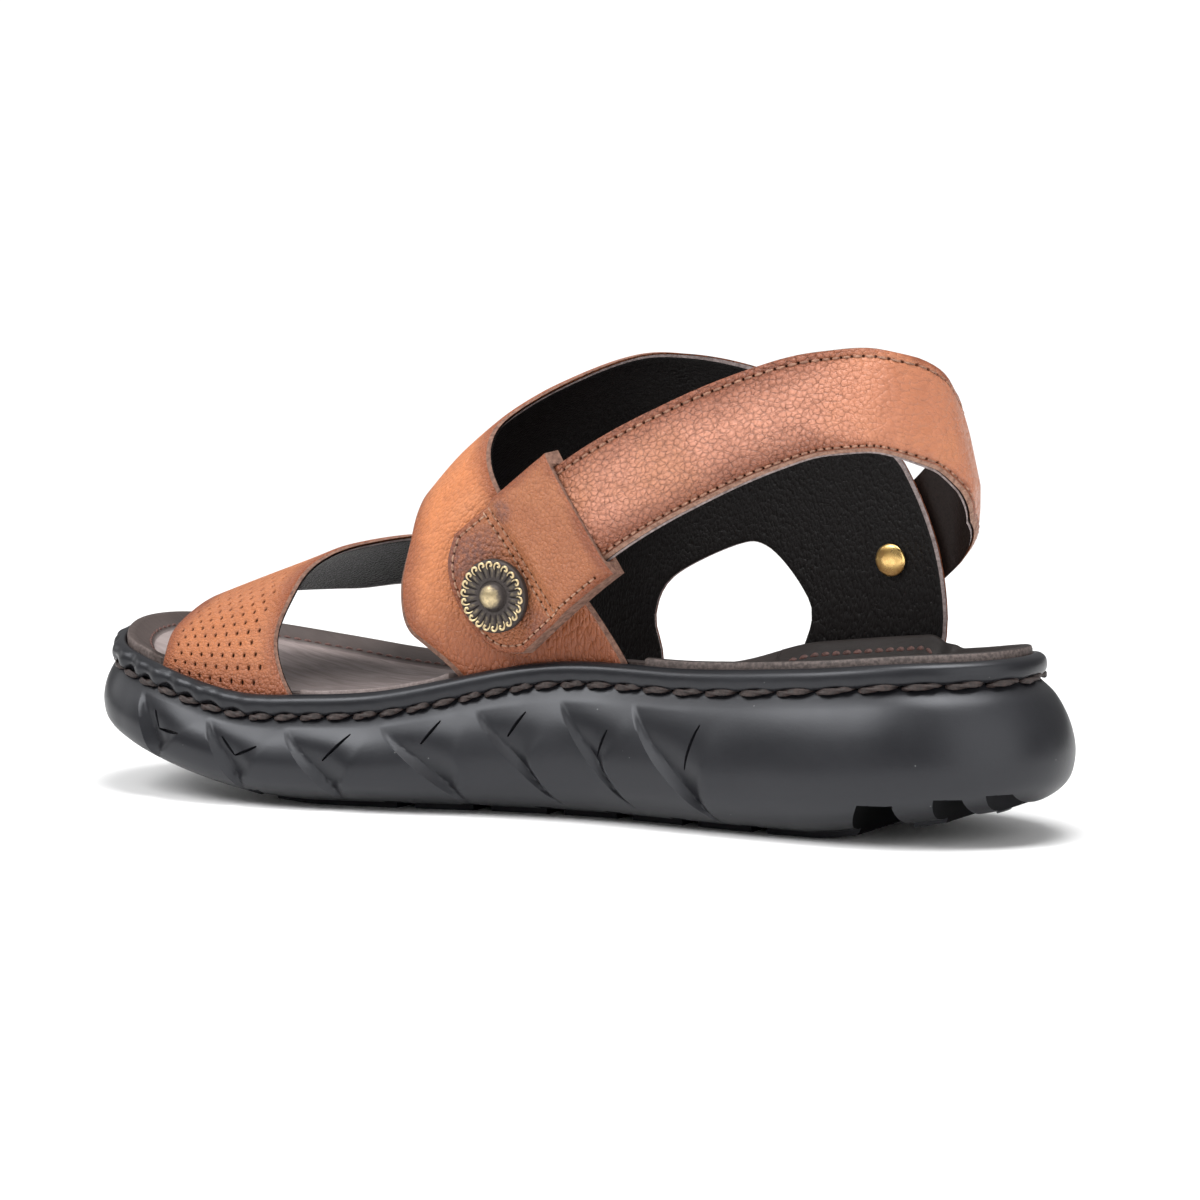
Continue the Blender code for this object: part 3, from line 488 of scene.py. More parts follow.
def ranged(tree, value, low, high, to_low=0.0, to_high=1.0):
    """A value brought softly from one range to another."""
    node = put(tree, "ShaderNodeMapRange", {"interpolation_type": "SMOOTHSTEP"}, Value=value,
               From_Min=low, From_Max=high, To_Min=to_low, To_Max=to_high)
    return node.outputs["Result"]


def new_group(name, inputs, outputs):
    """A shader node group with named sockets, and its two end nodes."""
    tree = bpy.data.node_groups.new(name, "ShaderNodeTree")
    for socket, kind, value in inputs:
        made = tree.interface.new_socket(socket, in_out="INPUT", socket_type="NodeSocket" + kind)
        made.default_value = value
    for socket, kind in outputs:
        tree.interface.new_socket(socket, in_out="OUTPUT", socket_type="NodeSocket" + kind)
    return tree, tree.nodes.new("NodeGroupInput"), tree.nodes.new("NodeGroupOutput")


def new_material(name):
    """A material with its tree and its Principled shader."""
    material = bpy.data.materials.new(name)
    material.use_nodes = True
    return material, material.node_tree, material.node_tree.nodes["Principled BSDF"]


def with_group(tree, group, **sockets):
    """Place a node group and set or link its sockets."""
    return put(tree, "ShaderNodeGroup", {"node_tree": group}, **sockets)


def bumped(tree, shader, height, strength, distance):
    """Feed a height to a shader's normal."""
    bump = put(tree, "ShaderNodeBump", Height=height, Strength=strength, Distance=distance)
    feed(tree, shader, Normal=bump.outputs["Normal"])


def rubber_skin_group():
    """Foam rubber as it leaves its mould: faint clouds, a fine skin and a few pale specks."""
    tree, ins, outs = new_group("rubber_skin", [("Colour", "Color", (0.02, 0.02, 0.02, 1)), ("Gloss", "Float", 0.45)],
                                [("Colour", "Color"), ("Roughness", "Float"), ("Height", "Float")])
    place = on_piece(tree)
    clouds = noise(tree, place, 28.0, 5.0, 0.6)
    skin = noise(tree, place, 1400.0, 3.0, 0.6)
    specks = put(tree, "ShaderNodeTexVoronoi", Vector=place, Scale=130.0)
    speck = ranged(tree, specks.outputs["Distance"], 0.035, 0.02)
    pale = mixed(tree, ranged(tree, clouds, 0.35, 0.75), ins.outputs["Colour"], (0.0095, 0.0095, 0.0115, 1))
    feed(tree, outs, Colour=mixed(tree, maths(tree, "MULTIPLY", speck, 0.35), pale, (0.22, 0.22, 0.22, 1)),
         Roughness=maths(tree, "ADD", ins.outputs["Gloss"], ranged(tree, clouds, 0.3, 0.8, -0.05, 0.08)), Height=skin)
    return tree


RUBBER_SKIN = rubber_skin_group()
COOL_SHEEN = (0.93, 0.95, 1.0, 1)


def rubber_material(name, colour, gloss, shine):
    """Black rubber over the moulded skin."""
    material, tree, shader = new_material(name)
    skin = with_group(tree, RUBBER_SKIN, Colour=colour, Gloss=gloss)
    feed(tree, shader, Base_Color=skin.outputs["Colour"], Roughness=skin.outputs["Roughness"],
         Specular_IOR_Level=shine, Specular_Tint=COOL_SHEEN)
    bumped(tree, shader, skin.outputs["Height"], 0.10, 0.0002)
    return material


outsole.data.materials.append(rubber_material("charcoal_rubber", (0.0062, 0.0062, 0.0078, 1), 0.38, 0.42))
# Second material: near-black, dull rubber on the groove faces, painted shade in the grooves.
outsole.data.materials.append(rubber_material("groove_painted_shade", (0.002, 0.002, 0.002, 1), 0.7, 0.05))
line_grooves(outsole)
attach(outsole, "root")
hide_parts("outsole")

# Welt
# A rolled lip of soft black rubber round the whole seam. Thick waxed thread holds it to the sole in a groove,
# and at the toe, where the seam turns, each stitch pulls the lip up a little.
WELT_LIP = table("out up",
    (-2.0, 0.3), (-0.6, 0.3), (0.6, 0.5), (1.5, 1.5), (1.7, 3.2), (1.2, 5.0), (0.0, 6.0), (-1.2, 6.2), (-2.0, 5.4),
    (-2.0, 2.5))
WELT_COLUMNS = 1000
WELT_PIECES = 4
SEAM_COLUMNS = 1440
STITCH_LENGTHS = table("x length",
    (-138, 12.0), (-90, 13.0), (-40, 10.5), (0, 8.0), (60, 8.5), (110, 8.0), (138, 7.5))
WELT_STITCHES = 74
STITCH_SHARE = 0.94
PULLED_UP = (50.0, 115.0)
TOE_PULL = 1.3
SIDE_PULL = 0.25
PULLED_IN = 0.3
PULLED_BELOW = (4.5, 0.5)
PULLED_OUTSIDE = (-1.0, 1.0)
LUMPED_OUTSIDE = (-0.5, 1.0)
LUMPS = table("size turns start",
    (0.35, 2 * math.pi, 0.8), (0.3, 2.9, 1.0))


def bent(a, b, c, d, pieces):
    """Spots on a smooth line from b to c, with a before it and d after it."""
    return [b + 0.5 * f * (c - a + f * (2 * a - 5 * b + 4 * c - d + f * (3 * b - 3 * c + d - a)))
            for f in np.arange(pieces) / pieces]


def closed_section(rows, pieces):
    """A smooth closed section through a table's rows."""
    spots = np.array([(row.out, row.up) for row in rows], float)
    count = len(spots)
    line = []
    for k in range(count):
        line += bent(*(spots[(k + i) % count] for i in (-1, 0, 1, 2)), pieces)
    return np.array(line + line[:1])


def summed(steps):
    """Steps added up, from nought."""
    return np.concatenate(([0.0], np.cumsum(steps)))


def stitch_count():
    """Seam angles at even steps, with the number of stitches from the toe to each."""
    phi = ring_angles(SEAM_COLUMNS)
    steps = np.linalg.norm(np.diff(outline(phi), axis=0), axis=1)
    steps = steps / curve(STITCH_LENGTHS, "length", station(0.5 * (phi[1:] + phi[:-1])))
    count = summed(steps)
    return phi, count / count[-1] * WELT_STITCHES


SEAM_PHI, SEAM_COUNT = stitch_count()


def stitch_phase(phi):
    """Number of stitches from the toe to a seam angle."""
    return np.interp(phi, SEAM_PHI, SEAM_COUNT)


def welt_rings():
    """The lip's section carried round the seam, pulled up at the middle of each stitch."""
    phi = ring_angles(WELT_COLUMNS)
    at_toe = soft(*PULLED_UP, station(phi))
    phase = stitch_phase(phi)
    pull = (SIDE_PULL + (TOE_PULL - SIDE_PULL) * at_toe) * 0.5 * (1 - np.cos(2 * math.pi * phase))
    lump = at_toe * sum(wave.size * np.sin(wave.turns * phase + wave.start) for wave in LUMPS)
    rings = []
    for out, up in closed_section(WELT_LIP, WELT_PIECES):
        low = soft(*PULLED_BELOW, up) * soft(*PULLED_OUTSIDE, out)
        spot = seam_point(phi, out - PULLED_IN * pull * low + lump * soft(*LUMPED_OUTSIDE, out))
        rings.append(with_height(spot, seam_height(phi) + up + pull * low))
    return np.array(rings)


welt = close_up(laid_grid("welt_lip", welt_rings()), 60)
welt.data.materials.append(rubber_material("welt_rubber", (0.0080, 0.0080, 0.0095, 1), 0.36, 0.36))
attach(welt, "root")
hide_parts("welt")

# Welt thread
# Thick brown waxed thread of three plies. Every stitch comes out of the groove, lies on it and goes back in.
THREAD_RADIUS = 0.8
THREAD_OUT = 0.95
THREAD_UP = 0.15
THREAD_DIVE = 1.5
THREAD_TILT = 0.9
PLIES = 3
PLY_TWIST = 0.6
PLY_DEPTH = 0.26
THREAD_COLUMNS = 24
THREAD_ROWS = 17
DIVE_POWER = 5
DIVE_THINNED = 0.5
THREAD_FLATTENED = 0.8


def thread_stitches():
    """One twisted bar for each stitch, laid in the groove."""
    around = ring_angles(THREAD_COLUMNS)
    lengthwise = np.linspace(0.0, 1.0, THREAD_ROWS)
    bars = []
    for k in range(WELT_STITCHES):
        phi = np.interp(k + 0.5 + STITCH_SHARE * (lengthwise - 0.5), SEAM_COUNT, SEAM_PHI)
        towards_heel = 1.0 if k < WELT_STITCHES / 2 else -1.0
        dive = np.abs(2 * lengthwise - 1) ** DIVE_POWER
        middle = seam_point(phi, THREAD_OUT - THREAD_DIVE * dive)
        outward = seam_point(phi, np.ones_like(phi)) - seam_point(phi, np.zeros_like(phi))
        height = seam_height(phi) + THREAD_UP + THREAD_TILT * towards_heel * (lengthwise - 0.5)
        rows = []
        for i, share in enumerate(lengthwise):
            ply = 1.0 + PLY_DEPTH * np.cos(PLIES * (around + 2 * math.pi * PLY_TWIST * share + k))
            radius = THREAD_RADIUS * ply * (1 - DIVE_THINNED * dive[i])
            across = radius * np.cos(around) * THREAD_FLATTENED
            spot = middle[i] + across[:, None] * outward[i]
            rows.append(with_height(spot, height[i] + radius * np.sin(around)))
        bars.append(laid_grid("stitch", capped(rows)))
    return close_up(joined("welt_thread", bars), 80)


Fibre = namedtuple("Fibre", "scale detail dark roughness bump distance")
WAXED = Fibre(900.0, 4.0, 0.35, 0.6, 0.35, 0.0003)


def fibre_material(name, fibre, colour, pale):
    """Fibres of a kind, some of them paler."""
    material, tree, shader = new_material(name)
    strands = noise(tree, on_piece(tree), fibre.scale, fibre.detail, 0.7)
    tint = mixed(tree, ranged(tree, strands, fibre.dark, 0.7), colour, pale)
    feed(tree, shader, Base_Color=tint, Roughness=fibre.roughness)
    bumped(tree, shader, strands, fibre.bump, fibre.distance)
    return material


welt_thread = thread_stitches()
welt_thread.data.materials.append(fibre_material("waxed_thread", WAXED, (0.011, 0.0062, 0.0050, 1),
                                                 (0.036, 0.021, 0.018, 1)))
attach(welt_thread, "root")

# Insole
# A footbed of taupe leather with a darker border strip sewn on, but for the open medial side. The border stands
# up at the edge and is cut down where the legs of the upper go between it and the lip.
LEGS = table("side rear front",
    (1, 69, 113), (1, -30, 19), (-1, -10, 42), (-1, -99, -51))
INSOLE_BORDER = table("out up skived",
    (-18.0, 3.0, 3.0), (-14.0, 3.3, 3.4), (-11.0, 3.7, 4.0), (-10.0, 3.8, 4.2), (-9.6, 4.7, 4.3), (-8.6, 5.2, 4.6),
    (-6.6, 6.3, 5.3), (-4.9, 7.6, 6.1), (-4.2, 8.1, 6.5), (-3.4, 8.2, 6.9), (-2.9, 8.1, 7.0), (-2.6, 7.9, 7.0),
    (-2.3, 7.0, 6.6), (-2.3, 3.0, 3.0), (-2.3, 0.3, 0.3), (-BED_INSET, 0.3, 0.3))
RIM_FROM = -2.7
STRIP_FROM = -9.7
QUARTER_STAND = 4.5
STAND_REAR = (-106.0, -96.0)
STAND_FRONT = (-62.0, -30.0)
STAND_FROM = -10.0
STAND_RUN = 6.0
STAND_ABOVE = 4.0
SKIVED = (24.0, 66.0)
SKIVED_RAMP = 4.0
NOTCH_DEPTH = 3.2
NOTCH_DROP = 6.2
NOTCH_FROM = -12.0
NOTCH_MARGIN = 2.0
NOTCH_RAMP = 2.0
INSOLE_COLUMNS = 900


def notch(phi, legs):
    """How far a seam angle lies within the notch of one of some legs, 0 to 1."""
    x = station(phi)
    side = np.where(np.sin(phi) > 0, 1, -1)
    depth = np.zeros_like(x)
    for leg in legs:
        rear = soft(leg.rear - NOTCH_MARGIN - NOTCH_RAMP, leg.rear - NOTCH_MARGIN, x)
        front = 1 - soft(leg.front + NOTCH_MARGIN, leg.front + NOTCH_MARGIN + NOTCH_RAMP, x)
        depth = np.maximum(depth, np.where(side == leg.side, rear * front, 0.0))
    return depth


def open_side(phi):
    """Where the medial edge lies open between toe strap and band, 0 to 1, and has no border strip."""
    x = station(phi)
    rear, front = (soft(mark - SKIVED_RAMP, mark + SKIVED_RAMP, x) for mark in SKIVED)
    return rear * (1 - front) * (np.sin(phi) > 0)


def quarter_stand(phi):
    """Where the border stands up inside the quarter's leg, 0 to 1, tapering to the front."""
    x = station(phi)
    return soft(*STAND_REAR, x) * (1 - soft(*STAND_FRONT, x)) * (np.sin(phi) < 0)


def border_height(phi, out, up, skived):
    """Height of a row of the border over the seam: low at the legs, but standing up inside the quarter's leg."""
    up = up + (skived - up) * open_side(phi)
    stand = QUARTER_STAND * np.clip((out - STAND_FROM) / STAND_RUN, 0.0, 1.0) * (up > STAND_ABOVE)
    low = np.minimum(up, NOTCH_DROP)
    return up + (low - up) * notch(phi, LEGS[:-1]) + stand * quarter_stand(phi)


def insole_rings():
    """The footbed's section carried round the seam and closed on the middle line, above and below."""
    phi = ring_angles(INSOLE_COLUMNS)
    cut = notch(phi, LEGS)
    rings, rims, strips = [], [], []

    def ring(row, share):
        inwards = NOTCH_DEPTH * cut if row.out > NOTCH_FROM else 0.0 * cut
        up = border_height(phi, row.out, row.up, row.skived) if row.out > -BED_INSET else np.full_like(phi, row.up)
        spot = with_height(seam_point(phi, row.out - inwards), seam_height(phi) + up)
        rings.append(towards_middle(spot, share))
        rims.append(np.full(len(phi), 1.0 if row.out > RIM_FROM else 0.0))
        strips.append((1 - open_side(phi)) * (row.out > STRIP_FROM))

    for share in np.linspace(1.0, 0.0, CAP_ROWS)[:-1]:
        ring(INSOLE_BORDER[0], share)
    for row in INSOLE_BORDER:
        ring(row, 0.0)
    for share in np.linspace(0.0, 1.0, CAP_ROWS)[1:]:
        ring(INSOLE_BORDER[-1], share)
    return np.array(rings), np.array(rims), np.array(strips)


def insole_material():
    """Taupe leather with fine wrinkles across the foot, a darker border strip and a frayed rim."""
    material, tree, shader = new_material("taupe_leather")
    place = on_piece(tree)
    turned = put(tree, "ShaderNodeMapping", Vector=place, Rotation=(0.0, 0.0, 0.5), Scale=(90.0, 420.0, 90.0))
    wrinkles = put(tree, "ShaderNodeTexNoise", Vector=turned.outputs["Vector"], Scale=1.0, Detail=5.0, Roughness=0.55,
                   Distortion=0.8).outputs["Fac"]
    pores = noise(tree, place, 1100.0, 3.0)
    clouds = noise(tree, place, 40.0, 4.0)
    tint = mixed(tree, ranged(tree, wrinkles, 0.3, 0.7), (0.175, 0.140, 0.134, 1), (0.245, 0.202, 0.195, 1))
    tint = mixed(tree, ranged(tree, clouds, 0.35, 0.75, 0.0, 0.5), tint, (0.29, 0.24, 0.23, 1))
    dark = mixed(tree, ranged(tree, clouds, 0.3, 0.7), (0.038, 0.027, 0.024, 1), (0.062, 0.046, 0.042, 1))
    along = put(tree, "ShaderNodeSeparateXYZ", Vector=place).outputs["X"]
    dark = mixed(tree, ranged(tree, along, 0.0, -0.06, 0.0, 0.8), dark, (0.008, 0.006, 0.0055, 1))
    tint = mixed(tree, painted(tree, "strip"), tint, dark)
    fray = maths(tree, "MULTIPLY", painted(tree, "rim"), ranged(tree, pores, 0.35, 0.65, 0.3, 0.85))
    tint = mixed(tree, fray, tint, (0.115, 0.090, 0.083, 1))
    feed(tree, shader, Base_Color=tint, Roughness=ranged(tree, wrinkles, 0.3, 0.7, 0.66, 0.54), Specular_IOR_Level=0.30)
    height = maths(tree, "ADD", wrinkles, maths(tree, "MULTIPLY", pores, 0.25))
    bumped(tree, shader, height, 0.35, 0.0006)
    return material


def carry(piece, name, values):
    """Let the points of a piece carry a value for its material."""
    piece.data.attributes.new(name, "FLOAT", "POINT").data.foreach_set("value", values)


insole_points, insole_rims, insole_strips = insole_rings()
insole = laid_grid("insole_bed", insole_points)
carry(insole, "rim", insole_rims.ravel())
carry(insole, "strip", insole_strips.ravel())
close_up(insole, 50)
insole.data.materials.append(insole_material())
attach(insole, "root")
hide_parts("insole")

# Stitching of the insole
# Red-brown thread that holds the border strip down along its inner edge, all round but for the open medial side.
INSOLE_STITCH_OUT = -9.0
INSOLE_STITCH_PITCH = 3.4
STAND_STITCH_OUT = 2.6
STITCH_CLEAR = 5.0
SEAM_SPOTS = 400
INSOLE_THREAD_RADIUS = 0.36
INSOLE_THREAD_RISE = 0.25
SEWN_SHARE = 0.40
SEWN_DIP = 0.12


def way_along(line):
    """The way along a line to each of its spots."""
    return summed(np.linalg.norm(np.diff(line, axis=0), axis=1))


SEAM_WAY = way_along(outline(SEAM_PHI))


def from_faces(name, points, faces):
    """A piece from points, given in millimetres, and faces."""
    mesh = bpy.data.meshes.new(name)
    mesh.from_pydata(((points + SHOE_MIDDLE) * MM).tolist(), [], faces)
    piece = bpy.data.objects.new(name, mesh)
    bpy.context.scene.collection.objects.link(piece)
    return piece


def evenly(line, pitch):
    """Spots at even steps along a line."""
    lengths = way_along(line)
    ways = np.linspace(0.0, lengths[-1], max(2, round(lengths[-1] / pitch)) + 1)
    return np.stack([np.interp(ways, lengths, line[:, k]) for k in range(line.shape[1])], axis=-1)


def sewn_row(name, needles, place, radius, rise):
    """Stitches between needle holes, laid on a surface."""
    grain = added(bpy.ops.mesh.primitive_uv_sphere_add, segments=8, ring_count=8, radius=1.0)
    shape = np.array([tuple(vertex.co) for vertex in grain.data.vertices])
    faces = [list(face.vertices) for face in grain.data.polygons]
    bpy.data.objects.remove(grain)
    points = []
    made = []
    for a, b in zip(needles[:-1], needles[1:]):
        flat = a + (b - a) * (0.5 + SEWN_SHARE * shape[:, 2:3])
        across = unit(np.array((-(b - a)[1], (b - a)[0])))
        flat = flat + across * radius * shape[:, 0:1]
        lift = rise * (1 - shape[:, 2] ** 2) - SEWN_DIP + radius * shape[:, 1]
        made += [[k + len(points) * len(shape) for k in face] for face in faces]
        points.append(place(flat[:, 0], flat[:, 1], lift))
    return close_up(from_faces(name, np.concatenate(points), made), 80)


def over_insole(x, y, lift):
    """A point over the border strip: x is the way round the seam from the toe, y how far out."""
    phi = np.interp(x, SEAM_WAY, SEAM_PHI)
    rows = [row for row in INSOLE_BORDER[:-1] if row.out < RIM_FROM]
    up, skived = (np.interp(y, [row.out for row in rows], [getattr(row, column) for row in rows])
                  for column in ("up", "skived"))
    height = seam_height(phi) + border_height(phi, y, up, skived) + lift
    return with_height(seam_point(phi, y - NOTCH_DEPTH * notch(phi, LEGS)), height)


open_rear, open_front = (np.interp(phi_at(x, 1), SEAM_PHI, SEAM_WAY)
                         for x in (SKIVED[0] - STITCH_CLEAR, SKIVED[1] + STITCH_CLEAR))
insole_rows = []
for start, end in ((0.0, open_front), (open_rear, SEAM_WAY[-1])):
    ways = np.linspace(start, end, SEAM_SPOTS)
    out = INSOLE_STITCH_OUT + STAND_STITCH_OUT * quarter_stand(np.interp(ways, SEAM_WAY, SEAM_PHI))
    needles = evenly(np.stack((ways, out), axis=-1), INSOLE_STITCH_PITCH)
    insole_rows.append(sewn_row("insole_row", needles, over_insole, INSOLE_THREAD_RADIUS, INSOLE_THREAD_RISE))
insole_thread = joined("insole_thread", insole_rows)
insole_thread.data.materials.append(fibre_material("red_thread", WAXED, (0.045, 0.016, 0.012, 1),
                                                   (0.12, 0.050, 0.040, 1)))
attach(insole_thread, "root")

# Upper
# One pattern of tan leather shaped on the last: toe strap with rows of pinholes, instep band and lateral quarter,
# with the wedge and the D-shaped opening cut out. Its legs go down between lip and insole.
LAST_RIDGE = table("x height across swell_medial swell_lateral",
    (-110, 142, -1, 2, 1), (-60, 140, -2, 4, 1), (-20, 129, -2, 6, 1), (10, 114, -1, 6, 1), (28, 100, 1, 4, 1),
    (42, 84, 3, 2, 1), (55, 75, 4, 1, 1), (75, 66, 6, 1, 1), (95, 58, 9, 1, 1), (115, 50, 12, 0, 0),
    (130, 45, 13, 0, 0))
TOP_POWER = 0.75
WALL = 2.2
LINING = 0.8
LEG_INSET = 4.5
LEG_FOOT = 0.7
STATION_PROBE = 0.5
GIRTH_PROBE = 0.003
TOE_STRAP_FRONT = table("x girth",
    (113, 0.0), (112, 9.0), (112, 19.0), (110, 30.0), (108, 48.0), (103, 66.0), (91, 75.5), (77, 78.5), (58, 83.0),
    (46, 90.0), (42, 100.0))
LATERAL_OPENING = table("x girth",
    (-10, 100.0), (-9, 98.0), (-7, 95.5), (-13, 92.6), (-33, 90.7), (-43, 91.1), (-54, 94.7), (-57, 97.0),
    (-51, 100.0))
COLLAR = table("x girth",
    (-98, 100.0), (-100, 97.3), (-97, 92.2), (-89, 85.7), (-83, 82.5), (-66, 76.5), (-43, 69.0), (-27, 63.0),
    (-14, 57.5), (6, 51.5), (17, 44.0), (16, 32.0), (8, 19.5), (-8, 9.0), (-20, 3.4), (-30, 0.0))
WEDGE_OPENING = table("x girth",
    (18, 0.0), (29, 4.3), (35, 8.2), (37, 15.0), (36, 24.0), (39, 40.0), (43, 55.0), (49, 66.0), (54, 67.5),
    (60, 62.0), (69, 52.0), (73, 38.0), (73, 24.0), (74, 13.0), (71, 5.0), (66, 0.0))
GIRTH_SCALE = 170.0
PATTERN_MM = 0.01
EDGE_STEP = 1.5
UPPER_STEP = 2.3
EDGE_ROWS = [0.45, 1.2]
EDGE_ROUND = 0.5
TRIM_REACH = 2.0
EDGE_ROUND_REACH = 1.3
HOLE_PITCH = 3.6
HOLE_ROW_PITCH = 4.9
HOLE_WIDTH = 0.42
HOLE_HEIGHT = 0.95
HOLE_DEPTH = 0.9
HOLE_MARGIN = 4.5
HOLE_REAR_MARGIN = 5.5
HOLE_GIRTHS = (2.0, 0.66 * GIRTH_SCALE)
HOLE_STATIONS = (60.0, 116.0)
TOE_STRAP_REAR = 8
GLUE = 0.05
UPPER_BEVEL = 0.8


def last_point(x, girth):
    """The last: girth runs from 0 at the medial seam over the ridge to 1 at the lateral seam."""
    side = np.where(girth < 0.5, 1.0, -1.0)
    angle = math.pi * girth
    phi = phi_at(x, side)
    base = seam_point(phi, np.full_like(phi, -LEG_INSET))
    foot = seam_height(phi) + LEG_FOOT
    across = curve(LAST_RIDGE, "across", x)
    reach = np.abs(np.cos(angle))
    rise = np.maximum(np.sin(angle), 0.0) ** TOP_POWER
    swell = np.where(side > 0, curve(LAST_RIDGE, "swell_medial", x), curve(LAST_RIDGE, "swell_lateral", x))
    y = across + (base[..., 1] - across) * reach + side * swell * np.sin(2 * angle) ** 2
    z = foot + (curve(LAST_RIDGE, "height", x) - foot) * rise
    return np.stack((x + (base[..., 0] - x) * reach, y, z), axis=-1)


def last_normal(x, girth):
    """Outward direction of the last."""
    girth = np.clip(girth, 2 * GIRTH_PROBE, 1 - 2 * GIRTH_PROBE)
    along = last_point(x + STATION_PROBE, girth) - last_point(x - STATION_PROBE, girth)
    around = last_point(x, girth + GIRTH_PROBE) - last_point(x, girth - GIRTH_PROBE)
    return unit(np.cross(around, along))


def through(rows, step):
    """A smooth line through a table's rows, as pattern points at about even steps."""
    spots = [np.array((float(row[0]), float(row[1]))) for row in rows]
    ends = [2 * spots[0] - spots[1]] + spots + [2 * spots[-1] - spots[-2]]
    line = []
    for k in range(1, len(ends) - 2):
        line += bent(*ends[k - 1:k + 3], max(1, round(np.linalg.norm(ends[k + 1] - ends[k]) / step)))
    return line + [spots[-1]]


def with_straight_runs(border, step):
    """Fill the straight runs of a border with spots."""
    filled = []
    for a, b in zip(border, border[1:] + border[:1]):
        pieces = max(1, round(np.linalg.norm(b - a) / step))
        filled += [a + (b - a) * k / pieces for k in range(pieces)]
    return np.array(filled)


def cut_edge(rows):
    """A smooth edge of the upper's pattern through a table's rows."""
    return through([(row.x, row.girth / 100 * GIRTH_SCALE) for row in rows], EDGE_STEP)


def upper_border():
    """The whole pattern's border, round all its openings."""
    edges = (TOE_STRAP_FRONT, LATERAL_OPENING, COLLAR, WEDGE_OPENING)
    return with_straight_runs([spot for edge in edges for spot in cut_edge(edge)], EDGE_STEP)


def inside(spots, border):
    """Which spots lie inside a closed border."""
    a = border
    b = np.roll(border, -1, axis=0)
    above = (a[None, :, 1] > spots[:, None, 1]) != (b[None, :, 1] > spots[:, None, 1])
    rise = np.where(b[:, 1] == a[:, 1], 1.0, b[:, 1] - a[:, 1])
    cross = a[None, :, 0] + (b - a)[None, :, 0] * (spots[:, None, 1] - a[None, :, 1]) / rise[None, :]
    return np.sum(above & (spots[:, None, 0] < cross), axis=1) % 2 == 1


def nearest(spots, others):
    """Distance from each spot to the nearest of others."""
    best = np.full(len(spots), np.inf)
    for block in range(0, len(others), 200):
        gaps = np.linalg.norm(spots[:, None] - others[None, block:block + 200], axis=2)
        best = np.minimum(best, gaps.min(axis=1))
    return best


PIT_SIDES = 10
PIT_ROWS = [(1.7, 0.0), (1.0, 0.25), (0.7, 1.0)]
PIT_CLEAR = 2.2
EDGE_PROBE = 0.2
EDGE_ROW_CLEAR = 0.9
FILL_CLEAR = 0.55
CUT_INSIDE = 1
CUT_CLOSE = 0.0001
ROUND_ROOM = 0.45
INNER_ROUND = 0.4
Pits = namedtuple("Pits", "spots radius_x radius_y depth")
NO_PITS = Pits(np.empty((0, 2)), 1.0, 1.0, 0.0)


def given(value, x, y):
    """A measure at pattern spots, given as a number or as a function of the pattern."""
    return value(x, y) if callable(value) else np.full(len(x), value)


def drawn_in(flat, from_edge, border, inward, amount):
    """Pattern spots moved in from a border, by the amount at the border itself and less further in."""
    moved = flat.copy()
    close = np.flatnonzero(from_edge < TRIM_REACH)
    amount = given(amount, flat[close, 0], flat[close, 1])
    index = np.concatenate([np.argmin(np.linalg.norm(flat[part][:, None] - border[None], axis=2), axis=1)
                            for part in np.array_split(close, max(1, len(close) // 500))])
    moved[close] += (amount * (1 - from_edge[close] / TRIM_REACH))[:, None] * inward[index]
    return moved


